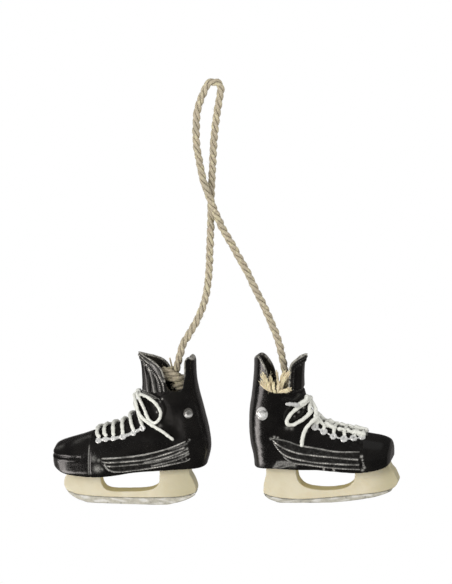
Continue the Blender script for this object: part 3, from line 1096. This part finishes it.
    # the other loop lies over the far side
    far = []
    for u, w in ((ku - 1.5, kw - 0.5), (ku - 4.5, kw - 5.0), (ku - 7.0, kw - 10.0), (ku - 10.5, kw - 12.0),
                 (ku - 12.0, kw - 8.0), (ku - 8.5, kw - 3.0), (ku - 3.5, kw - 0.4)):
        p, n = skin.at(u, w, -1)
        if p[1] > -1.0:
            p, n = skin.nearest((u, -3.0, w))
        far.append(p + n * 2.2)
    far = np.vstack([[centre], far, [centre + np.array([0, -0.9, -0.5])]])
    if label == "right":
        strand = np.vstack([[centre], [skin.at(u, w, 1)[0] + skin.at(u, w, 1)[1] * 3.0 for u, w in
                                       ((26.2, 56.2), (22.3, 54.4), (19.3, 52.8))]])
        parts.append(tube(along(strand, 40), 1.15, 12, up=(0, 1, 0.1), rough=0.09, seed=103))
        low_p, low_n = skin.at(22.6, 36.9, 1)
        parts.append(tube([low_p + low_n * 1.9, low_p + low_n * 1.5 + np.array([-0.5, 0, -2.0])], 0.7, 12))
    bow = gather("bow", parts)
    remesh(bow, 0.2)
    keep_largest(bow)
    soften(bow, 2, 1)
    co, ed = read(bow)
    co = co + normals(bow) * (0.08 * waves(co, 1.2, 111) + 0.03 * waves(co, 0.5, 112))[:, None]
    write(bow, co)
    sharp = convexity(bow, 2)
    paint(bow, "dark", step(-sharp, 0.02, 0.12))
    paint(bow, "wear", step(sharp, 0.05, 0.16))
    done(bow, "lace_bow", "lace", ["lace_bow"])

    # ------------------------------------------------ side bands: stitched ridges on a raised panel
    u0, u1 = S["trim_u"]
    for where, sign in (("lateral", 1), ("medial", -1)):
        columns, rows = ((170, 44))
        us = np.linspace(u0, u1, columns)
        hi, lo = height_at(S["trim_top"], us), height_at(S["trim_low"], us)
        pts, nrm, uw = [], [], []
        for i in range(columns):
            for j in range(rows):
                w = lo[i] + (hi[i] - lo[i]) * j / (rows - 1)
                p, n = skin.at(us[i], w, sign)
                pts.append(p)
                nrm.append(n)
                uw.append((us[i], w))
        pts, nrm, uw = np.array(pts), np.array(nrm), np.array(uw)
        ii, jj = np.divmod(np.arange(columns * rows), rows)
        edge = np.minimum(np.minimum(ii, columns - 1 - ii) * (u1 - u0) / columns,
                          np.minimum(jj, rows - 1 - jj) * np.repeat((hi - lo) / rows, rows))
        rise = step(edge, 0.0, 0.7)
        rise = rise * (0.25 + 0.75 * step(uw[:, 0], u0 + 0.3, u0 + 4.0))
        height = 0.42 * rise + 0.05 * waves(pts, 2.0, 120)
        silver = np.zeros(len(pts))
        for k, (line_pts, strength) in enumerate(S["bands"]):
            d, s, total = line_distance(uw, line_pts, 90)
            weave = 0.72 + 0.28 * np.cos(s * 2 * math.pi / 1.25 + 5 * d)
            ridge_h = np.exp(-(d / 0.46) ** 2)
            height += rise * 0.50 * ridge_h * weave - rise * 0.22 * np.exp(-((d - 0.95) / 0.35) ** 2)
            uneven = 0.62 + 0.38 * np.clip(waves(np.column_stack([uw, np.zeros(len(uw))]), 3.0, 130 + k), -1, 1)
            silver = np.maximum(silver, 1.6 * strength * uneven * np.exp(-(d / 0.30) ** 2) * (0.55 + 0.45 * weave))
        rear = (1 - step(uw[:, 0], u0 + 2.0, u0 + 9.0)) if label == "left" else np.zeros(len(pts))
        dust = (0.03 + 0.30 * rear) * np.clip(waves(pts, 0.9, 140), 0, 1)
        silver = np.maximum(silver, dust * step(edge, 0.3, 1.0))
        outer_pts = pts + nrm * (height - 0.18 * (1 - rise))[:, None]
        inner_pts = pts - nrm * 0.45
        half = len(pts)
        faces = []
        for i in range(columns - 1):
            for j in range(rows - 1):
                a, b = i * rows + j, (i + 1) * rows + j
                faces += [[a, b, b + 1, a + 1], [half + a + 1, half + b + 1, half + b, half + a]]
        for i in range(columns - 1):
            for j in (0, rows - 1):
                a, b = i * rows + j, (i + 1) * rows + j
                faces.append([a, b, half + b, half + a])
        for j in range(rows - 1):
            for i in (0, columns - 1):
                a = i * rows + j
                faces.append([a, a + 1, half + a + 1, half + a])
        trim = mesh_object("trim", np.vstack([outer_pts, inner_pts]), faces, tidy=False)
        bm = bmesh.new()
        bm.from_mesh(trim.data)
        bmesh.ops.recalc_face_normals(bm, faces=bm.faces)
        bm.to_mesh(trim.data)
        bm.free()
        paint(trim, "silver", np.concatenate([np.clip(silver, 0, 1), np.zeros(half)]))
        done(trim, "side_trim_" + where, "band", ["side_trim_" + where])

    if label == "right":
        # silver tip on the bow's short strand
        p0, n0 = skin.at(19.4, 52.9, 1)
        p1, n1 = skin.at(14.9, 55.1, 1)
        path = along([p0 + n0 * 3.3, (p0 + p1) / 2 + n0 * 3.6, p1 + n1 * 3.4], 24)
        widths = np.interp(np.linspace(0, 1, 24), (0, 0.15, 0.5, 0.85, 1), (0.9, 1.15, 1.0, 0.85, 0.6))
        tip = gather("tip", [tube(path, widths, 12, up=(0, 1, 0.1), rough=0.1, seed=150),
                             ring_of(path[2], path[3] - path[1], 1.0, 0.3)])
        remesh(tip, 0.13)
        soften(tip, 2, 1)
        co, ed = read(tip)
        write(tip, co + normals(tip) * (0.08 * waves(co, 0.8, 151))[:, None])
        sharp = convexity(tip, 2)
        paint(tip, "dark", step(-sharp, 0.01, 0.10))
        paint(tip, "wear", step(sharp, 0.05, 0.16))
        done(tip, "lace_aglet", "silver", ["lace_aglet"])

        # frayed end of the cord: each ply opens into a fluffy lock of fibres
        rng = np.random.default_rng(7)
        locks = [((8.6, 8.5, 60.2), (6.2, 10.9, 67.2), (4.9, 11.7, 71.6), 0.62, 1.4),
                 ((8.2, 9.3, 60.4), (6.1, 11.3, 63.4), (3.9, 12.3, 67.2), 0.62, 1.4),
                 ((9.4, 7.4, 59.8), (8.8, 8.6, 64.8), (8.5, 9.2, 68.8), 0.55, 0.95),
                 ((11.0, 5.6, 60.0), (11.4, 5.6, 65.4), (11.0, 5.4, 70.6), 0.34, 0.36),
                 ((12.8, 7.6, 60.4), (15.0, 9.4, 66.0), (19.3, 10.9, 71.6), 0.72, 1.2),
                 ((12.2, 6.2, 60.2), (14.0, 7.8, 67.0), (16.6, 9.0, 71.0), 0.5, 0.85),
                 ((13.7, 9.0, 60.6), (12.9, 9.0, 63.6), (11.4, 8.4, 66.4), 0.36, 0.4),
                 ((12.6, 9.6, 60.2), (15.6, 11.5, 61.3), (19.4, 12.4, 62.6), 0.55, 1.4),
                 ((9.0, 9.6, 60.0), (8.0, 11.1, 62.8), (8.2, 11.4, 66.2), 0.55, 0.85),
                 ((10.6, 9.4, 59.8), (10.2, 11.0, 62.4), (10.3, 10.8, 65.6), 0.55, 0.8),
                 ((12.0, 9.2, 59.8), (12.3, 10.6, 62.6), (12.9, 10.0, 65.4), 0.5, 0.7),
                 ((7.4, 9.4, 60.8), (6.4, 11.0, 64.2), (7.1, 11.4, 68.2), 0.5, 0.8)]
        parts, ply, shade = [], [], []
        for k, (foot, bend, tip_point, base_r, tip_r) in enumerate(locks):
            foot, bend, tip_point = np.array(foot), np.array(bend), np.array(tip_point)
            spine = along([foot * 0.8 + np.array([11.2, 6.0, 59.0]) * 0.2, foot, bend, tip_point], 18)
            t, n, b = carried_frames(spine, (0, 1, 0.1))
            yarns = 15
            for y in range(yarns):
                r0 = math.sqrt((y + 0.5) / yarns)
                a0 = y * 2.39996
                points = []
                for q in range(18):
                    f = q / 17
                    spread = (base_r * (1 - f) + tip_r * f ** 1.3) * r0 * (1 if f < 0.85 else 1 - 0.5 * (f - 0.85) / 0.15)
                    a = a0 + 3.4 * f
                    points.append(spine[q] + spread * (math.cos(a) * n[q] + math.sin(a) * b[q])
                                  + 0.17 * rng.normal(size=3) * f)
                length = int(18 * rng.uniform(0.78, 1.0))
                radius = np.interp(np.linspace(0, 1, length), (0, 0.7, 1), (0.24, 0.25, 0.15))
                v, f_ = tube(np.array(points[:length]), radius, 6, up=(0, 1, 0.1))
                parts.append((v, f_))
                rows_ = len(v) // 6
                ply.append(np.column_stack([np.tile(np.arange(6), rows_) * 0.3, np.repeat(np.arange(rows_), 6) * 0.6,
                                            np.full(len(v), k * 7.3 + y)]))
                shade.append(np.full(len(v), 0.0) + 0.8 * step(0.3 - np.repeat(np.arange(rows_), 6) / rows_, 0, 0.3))
            for _ in range(14):       # loose hairs
                q = rng.integers(5, 17)
                start_p = spine[q] + tip_r * 0.6 * rng.normal(size=3) * 0.6
                go = t[q] + 0.75 * rng.normal(size=3)
                go /= np.linalg.norm(go)
                reach = rng.uniform(0.8, 2.2)
                sag = 0.3 * rng.normal(size=3)
                points = [start_p + go * reach * f + sag * f * f * reach for f in np.linspace(0, 1, 6)]
                v, f_ = tube(np.array(points), np.linspace(0.055, 0.03, 6), 4)
                parts.append((v, f_))
                ply.append(np.column_stack([np.zeros(len(v)), np.arange(len(v)) * 0.1, np.full(len(v), k * 3.1)]))
                shade.append(np.zeros(len(v)))
        tuft = gather("tuft", parts, tidy=False)
        bm = bmesh.new()
        bm.from_mesh(tuft.data)
        bmesh.ops.recalc_face_normals(bm, faces=bm.faces)
        bm.to_mesh(tuft.data)
        bm.free()
        layer = tuft.data.attributes.new("ply", "FLOAT_VECTOR", "POINT")
        layer.data.foreach_set("vector", np.vstack(ply).astype(np.float32).ravel())
        paint(tuft, "dark", np.concatenate(shade))
        done(tuft, "frayed_tuft", "fray", ["frayed_tuft"])


for label, S in (("left", LEFT), ("right", RIGHT)):
    build_skate(label, S)


# ---------------------------------------------------------------- twine: three plies laid round one centre line
def knot_point(S):
    ku, kw = S["knot"]
    return np.array(skate_matrix(S) @ Vector((ku, 0, kw))) / MM


def part_y(z):
    return CROSS_Y * min(1.0, max(0.0, (z + 8.0) / (-52.0 + 8.0))) ** 1.5 if z < -8 else 0.0


front_branch = [(-1.3, -58.1), (-1.96, -56.15), (-3.6, -51.5), (-5.3, -46.0), (-6.7, -38.8), (-8.2, -29.7),
                (-8.4, -21.6), (-7.9, -13.5), (-6.5, -8.0), (-4.7, -3.4), (-3.3, -0.3), (-2.5, 0.9)]
back_branch = [(2.4, 0.9), (3.2, -0.6), (3.4, -2.8), (2.6, -7.4), (1.1, -17.5), (0.1, -27.7), (-0.4, -37.8),
               (-0.9, -48.0), (-1.25, -56.1), (-1.3, -58.1)]


def strand_line(label, S):
    """From the crossing down to the knot."""
    sign = 1 if label == "left" else -1
    knot = knot_point(S)
    lean = np.array(S["lean"], float)
    lean /= np.linalg.norm(lean)
    line = [(x, sign * CROSS_Y * max(0.0, min(1.0, (z + 88) / 28)), z) for x, z in S["cord"]]
    return line + [tuple(knot + lean * 17), tuple(knot + lean * 6.6), tuple(knot + lean * 1.0)]


left_line, right_line = strand_line("left", LEFT), strand_line("right", RIGHT)
top_line = [(x, 0, CORD_R * 0.94) for x in (-1.3, 0.0, 1.3)]
whole = ([p for p in left_line[::-1]] + [(x, part_y(z), z) for x, z in back_branch[::-1]]
         + top_line[::-1] + [(x, -part_y(z), z) for x, z in front_branch[::-1]] + list(right_line))


def resample(points, spacing):
    fine = np.array([spline(points, k / 6000) for k in range(6001)])
    run = np.concatenate([[0], np.cumsum(np.linalg.norm(np.diff(fine, axis=0), axis=1))])
    at = np.linspace(0, run[-1], max(8, int(run[-1] / spacing)))
    return np.stack([np.interp(at, run, fine[:, a]) for a in range(3)], axis=1), run[-1]


PITCH = 12.4
SIDE = 0.4


def lay(path, first, last, phase0, spacing, thick=1.0, sides=14, seed=0, ends=(False, False), hairs=2.2):
    """Three plies along path[first:last], as verts, faces, ply space and shade."""
    t, n, b = carried_frames(path, (0, 1, 0))
    parts, ply_space, shade = [], [], []
    rng = np.random.default_rng(1000 + seed)
    R, r = 0.96 * thick, 0.87 * thick
    ks = np.arange(first, last)
    for p in range(3):
        ang = phase0 + 2 * math.pi * p / 3 - 2 * math.pi * np.arange(len(path)) * spacing / PITCH
        wob = 1 + 0.05 * np.sin(np.arange(len(path)) * spacing / 3.7 + p * 2.0)
        centre = path + R * wob[:, None] * (np.cos(ang)[:, None] * n + np.sin(ang)[:, None] * b)
        tp = np.gradient(centre, axis=0)
        tp /= np.linalg.norm(tp, axis=1)[:, None]
        out = centre - path
        out -= (out * tp).sum(axis=1)[:, None] * tp
        out /= np.linalg.norm(out, axis=1)[:, None]
        side = np.cross(tp, out)
        verts, space, dark = [], [], []
        size = np.ones(len(path))
        if ends[0]:
            size[first:first + 4] = (0.25, 0.6, 0.85, 0.97)
        if ends[1]:
            size[last - 4:last] = (0.97, 0.85, 0.6, 0.25)
        for k in ks:
            s = k * spacing
            for j in range(sides):
                a = 2 * math.pi * j / sides
                strands = 0.035 * math.cos(5 * (a + s * 0.45)) + 0.03 * math.sin(3.1 * a + s * 1.9 + p)
                rr = r * size[k] * (1 + strands + 0.05 * math.sin(s * 0.9 + p * 1.3))
                verts.append(centre[k] + rr * (math.cos(a) * out[k] + math.sin(a) * side[k]))
                space.append((min(a, 2 * math.pi - a) * r + 0.45 * s * r, s, p * 5.7))
                dark.append(0.85 * float(step(-math.cos(a), -0.25, 0.75)))
        count = len(ks)
        faces = [list(range(sides)), list(range((count - 1) * sides, count * sides))[::-1]]
        for q in range(count - 1):
            for j in range(sides):
                a, c = q * sides + j, q * sides + (j + 1) % sides
                faces.append([a, c, c + sides, a + sides])
        parts.append((np.array(verts), faces))
        ply_space.append(np.array(space))
        shade.append(np.array(dark))
    number = int((last - first) * spacing * hairs * (1.0))
    for h in range(number):                                   # short hairs that stand out of the lay
        k = int(rng.integers(first + 2, max(first + 3, last - 2)))
        a = rng.uniform(0, 2 * math.pi)
        out = math.cos(a) * n[k] + math.sin(a) * b[k]
        around = -math.sin(a) * n[k] + math.cos(a) * b[k]
        go = t[k] * rng.choice([-1, 1]) * rng.uniform(0.5, 1.3) + out * rng.uniform(0.15, 0.75) + around * rng.uniform(-0.6, 0.6)
        go /= np.linalg.norm(go)
        reach = rng.uniform(0.7, 2.3)
        start_p = path[k] + out * 1.45 * thick
        curl = out * rng.uniform(-0.7, 0.25) + around * rng.uniform(-0.3, 0.3)
        points = [start_p + go * reach * f + curl * reach * f * f for f in np.linspace(0, 1, 5)]
        v, f_ = tube(np.array(points), np.linspace(0.055, 0.025, 5), 3)
        parts.append((v, f_))
        ply_space.append(np.column_stack([np.full(len(v), rng.uniform(0, 9)), np.arange(len(v)) * 0.1, np.zeros(len(v))]))
        shade.append(np.zeros(len(v)))
    return parts, np.vstack(ply_space), np.concatenate(shade)


def cord_object(name, made, body, nodes):
    parts, space, shade = made
    obj = gather(name, parts, tidy=False)
    bm = bmesh.new()
    bm.from_mesh(obj.data)
    bmesh.ops.recalc_face_normals(bm, faces=bm.faces)
    bm.to_mesh(obj.data)
    bm.free()
    layer = obj.data.attributes.new("ply", "FLOAT_VECTOR", "POINT")
    layer.data.foreach_set("vector", space.astype(np.float32).ravel())
    paint(obj, "dark", shade)
    return finish(obj, name, "twine", body, nodes)


SPACE = 0.36
whole = [(x + SIDE * min(1.0, max(0.0, (z + 150) / 40)), y, z) for x, y, z in whole]
line, total = resample(whole, SPACE)
SPACE = total / (len(line) - 1)
apex = int(np.argmax(line[:, 2]))
above = CROSS_Z + 7.0
cut_left = int(np.argmax(line[:apex, 2] > above))
cut_right = apex + int(np.argmax(line[apex:, 2] < above))
loop_cord = cord_object("twine_loop", lay(line, cut_left, cut_right + 1, 0.4, SPACE, seed=1), "loop", ["hanging_loop"])
left_cord = cord_object("twine_left_strand", lay(line, 0, cut_left + 1, 0.4, SPACE, seed=2), None,
                        ["left_cord_strand"])
right_cord = cord_object("twine_right_strand", lay(line, cut_right, len(line), 0.4, SPACE, seed=3), None,
                         ["right_cord_strand"])
for cord, sign, strand in ((left_cord, 1, "left_strand"), (right_cord, -1, "right_strand")):
    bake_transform(cord)

# knots: the cord turns round itself and stops in a short fuzzy end
for label, S in (("left", LEFT), ("right", RIGHT)):
    flip = 1.0 if label == "left" else -1.0
    if label == "left":
        route = [(1.0, 0.6, 3.6), (-1.2, 2.2, 2.0), (-3.6, 1.4, 2.2), (-4.3, -0.6, 3.0), (-1.6, -2.9, 2.5), (2.0, -2.9, 1.0),
                 (4.2, -0.8, -0.6), (2.4, 1.9, -1.0), (-1.5, 2.3, 0.2), (-3.9, 0.2, 1.0), (-2.3, -2.5, 0.8),
                 (0.8, -3.0, -0.3), (3.5, -1.6, -2.0), (3.8, 0.8, -3.3), (1.4, 2.0, -4.0), (0.0, -0.4, -4.2),
                 (1.3, -2.6, -3.5), (3.3, -2.0, -3.9), (3.4, 0.2, -5.2), (1.6, 1.2, -6.4), (0.2, 0.2, -7.6)]
    else:
        route = [(0.3, 0.4, 3.0), (0.2, 1.6, 0.6), (1.2, 2.1, -2.8), (3.0, 0.2, -4.4), (0.2, -2.3, -4.2), (-2.5, -0.6, -3.0),
             (-3.3, 1.7, 0.3), (-4.1, 0.0, 3.0), (-1.1, -2.5, 2.0), (2.1, -1.9, -0.4), (3.3, 0.5, -1.5),
             (1.4, 2.6, -3.4), (-0.4, 1.0, -6.0), (-0.6, -0.2, -7.6)]
    knot = knot_point(S)
    if label == "left":
        route = np.array(route) * np.array([1.1, 1.0, 1.1]) + np.array([-0.2, 0.0, 0.7]) + knot
    else:
        route = np.array([(-0.72 * x - 0.6, 0.9 * y, z) for x, y, z in route]) + knot
    path, length = resample([tuple(p) for p in route], 0.36)
    spacing = length / (len(path) - 1)
    made = lay(path, 0, len(path), 1.0, spacing, thick=1.06 if label == "left" else 0.98, seed=5 + int(flip), ends=(True, False), hairs=3.0)
    if label == "left":
        # a short wisp above the knot
        tip = np.array([(-0.9, -0.8, 3.0), (-1.2, -1.0, 5.5), (-1.6, -1.2, 7.5), (-2.3, -1.2, 10.6)]) + knot
        for k in range(5):
            v, f_ = tube(along([tuple(q + np.array([0.12 * k, 0.1 * k, 0])) for q in tip], 14),
                         np.linspace(0.3, 0.12, 14), 6)
            made[0].append((v, f_))
            made = (made[0], np.vstack([made[1], np.column_stack([np.arange(len(v)) % 6 * 0.3, np.arange(len(v)) * 0.1,
                                                                   np.full(len(v), 3.0 * k)])]),
                    np.concatenate([made[2], np.zeros(len(v))]))
    cord_object(label + "_knot_cord", made, label + "_knot_end", [label + "_knot"])


# ---------------------------------------------------------------- studio
def glow(name, build):
    mat = bpy.data.materials.new(name)
    mat.use_nodes = True
    tree = mat.node_tree
    tree.nodes.clear()
    build(tree)
    return mat


def floor_nodes(tree):
    out = tree.nodes.new("ShaderNodeOutputMaterial")
    path = tree.nodes.new("ShaderNodeLightPath")
    seen = tree.nodes.new("ShaderNodeEmission")          # what the camera sees: a pale, even sweep
    seen.inputs["Color"].default_value = (1, 1, 1, 1)
    seen.inputs["Strength"].default_value = 1.0
    bounce = tree.nodes.new("ShaderNodeEmission")        # what lights the object from below
    bounce.inputs["Color"].default_value = (1.0, 0.985, 0.96, 1)
    bounce.inputs["Strength"].default_value = 0.66
    place = tree.nodes.new("ShaderNodeNewGeometry")
    split = tree.nodes.new("ShaderNodeSeparateXYZ")
    tree.links.new(place.outputs["Position"], split.inputs[0])
    def ramp(axis, a, b, low, high):
        node = tree.nodes.new("ShaderNodeMapRange")
        node.interpolation_type = "SMOOTHSTEP"
        for k, value in enumerate((a, b, low, high)):
            node.inputs[k + 1].default_value = value
        tree.links.new(split.outputs[axis], node.inputs[0])
        return node.outputs[0]

    def both(kind, one, two):
        node = tree.nodes.new("ShaderNodeMath")
        node.operation = kind
        tree.links.new(one, node.inputs[0])
        tree.links.new(two, node.inputs[1])
        return node.outputs[0]

    lit = both("MULTIPLY", ramp("X", -0.20, -0.28, 0.0, 7.5), ramp("Y", -0.37, -0.30, 0.0, 1.0))
    lit = both("MULTIPLY", lit, ramp("Y", -0.18, -0.06, 1.0, 0.03))
    mirror = tree.nodes.new("ShaderNodeEmission")        # what shiny faces reflect: the sweep is lit at the left
    mirror.inputs["Color"].default_value = (1.0, 0.94, 0.91, 1)
    tree.links.new(both("ADD", lit, ramp("Y", -0.05, 0.3, 0.0, 0.16)), mirror.inputs["Strength"])
    first = tree.nodes.new("ShaderNodeMixShader")
    tree.links.new(path.outputs["Is Glossy Ray"], first.inputs[0])
    tree.links.new(bounce.outputs[0], first.inputs[1])
    tree.links.new(mirror.outputs[0], first.inputs[2])
    last = tree.nodes.new("ShaderNodeMixShader")
    tree.links.new(path.outputs["Is Camera Ray"], last.inputs[0])
    tree.links.new(first.outputs[0], last.inputs[1])
    tree.links.new(seen.outputs[0], last.inputs[2])
    tree.links.new(last.outputs[0], out.inputs["Surface"])


FLOOR_Z = -0.38
floor_mesh = bpy.data.meshes.new("studio_floor")
floor_mesh.from_pydata([(-15, -15, FLOOR_Z), (15, -15, FLOOR_Z), (15, 15, FLOOR_Z), (-15, 15, FLOOR_Z)], [], [(0, 1, 2, 3)])
floor = bpy.data.objects.new("studio_floor", floor_mesh)
bpy.context.scene.collection.objects.link(floor)
floor_mesh.materials.append(glow("pale_sweep", floor_nodes))

world = bpy.data.worlds.new("studio")
bpy.context.scene.world = world
world.use_nodes = True
tree = world.node_tree
tree.nodes.clear()
out = tree.nodes.new("ShaderNodeOutputWorld")
path_node = tree.nodes.new("ShaderNodeLightPath")
soft = tree.nodes.new("ShaderNodeBackground")
soft.inputs["Color"].default_value = (1, 1, 1, 1)
soft.inputs["Strength"].default_value = 0.66
shine = tree.nodes.new("ShaderNodeBackground")
shine.inputs["Color"].default_value = (1.0, 0.95, 0.95, 1)
shine.inputs["Strength"].default_value = 0.05
pale = tree.nodes.new("ShaderNodeBackground")
pale.inputs["Color"].default_value = (1, 1, 1, 1)
pale.inputs["Strength"].default_value = 1.0
mix_a = tree.nodes.new("ShaderNodeMixShader")
mix_b = tree.nodes.new("ShaderNodeMixShader")
tree.links.new(path_node.outputs["Is Glossy Ray"], mix_a.inputs[0])
tree.links.new(soft.outputs[0], mix_a.inputs[1])
tree.links.new(shine.outputs[0], mix_a.inputs[2])
tree.links.new(path_node.outputs["Is Camera Ray"], mix_b.inputs[0])
tree.links.new(mix_a.outputs[0], mix_b.inputs[1])
tree.links.new(pale.outputs[0], mix_b.inputs[2])
tree.links.new(mix_b.outputs[0], out.inputs["Surface"])


def softbox(name, place, aim, size, energy, colour=(1, 1, 1)):
    light = bpy.data.lights.new(name, "AREA")
    light.shape, light.size, light.size_y = "RECTANGLE", size[0], size[1]
    light.energy, light.color = energy, colour
    obj = bpy.data.objects.new(name, light)
    bpy.context.scene.collection.objects.link(obj)
    obj.location = Vector(place)
    obj.rotation_euler = (Vector(aim) - Vector(place)).to_track_quat("-Z", "Y").to_euler()
    return obj


def card(name, corners, strength, colour=(1, 1, 1)):
    """A reflector that only shiny faces see."""

    def build(tree):
        out = tree.nodes.new("ShaderNodeOutputMaterial")
        path = tree.nodes.new("ShaderNodeLightPath")
        clear = tree.nodes.new("ShaderNodeBsdfTransparent")
        light = tree.nodes.new("ShaderNodeEmission")
        light.inputs["Color"].default_value = (*colour, 1)
        light.inputs["Strength"].default_value = strength
        mix = tree.nodes.new("ShaderNodeMixShader")
        tree.links.new(path.outputs["Is Glossy Ray"], mix.inputs[0])
        tree.links.new(clear.outputs[0], mix.inputs[1])
        tree.links.new(light.outputs[0], mix.inputs[2])
        tree.links.new(mix.outputs[0], out.inputs["Surface"])

    mesh = bpy.data.meshes.new(name)
    mesh.from_pydata([Vector(c) for c in corners], [], [(0, 1, 2, 3)])
    obj = bpy.data.objects.new(name, mesh)
    bpy.context.scene.collection.objects.link(obj)
    mesh.materials.append(glow(name, build))
    return obj


for light in (softbox("key_left", (-0.9, -1.0, 0.35), (0.0, 0.0, -0.16), (0.6, 0.6), 13.0),
              softbox("key_right", (1.1, -0.9, 0.3), (0.0, 0.0, -0.16), (0.6, 0.6), 6.0)):
    light.visible_glossy = False
card("card_left", [(-0.55, -0.40, -0.38), (-0.55, -0.14, -0.38), (-0.55, -0.14, 0.06), (-0.55, -0.40, 0.06)], 4.0,
     (1.0, 0.93, 0.91))
card("card_top", [(-0.5, -0.35, 0.7), (0.5, -0.35, 0.7), (0.5, 0.35, 0.7), (-0.5, 0.35, 0.7)], 0.22)

target = Vector((6.24, 0.0, -104.3)) * MM
elevation = math.radians(19.0)
camera_data = bpy.data.cameras.new("camera")
camera_data.sensor_fit = "AUTO"
camera_data.sensor_width = 36.0
DISTANCE = 5.0
camera_data.lens = 36.0 * DISTANCE * 1000.0 / 280.32
camera = bpy.data.objects.new("camera", camera_data)
bpy.context.scene.collection.objects.link(camera)
camera.location = target + DISTANCE * Vector((0, -math.cos(elevation), math.sin(elevation)))
camera.rotation_euler = (target - camera.location).to_track_quat("-Z", "Y").to_euler()
camera_data.clip_start = 0.05
camera_data.clip_end = 40.0
bpy.context.scene.camera = camera
bpy.context.scene.view_settings.view_transform = "Standard"
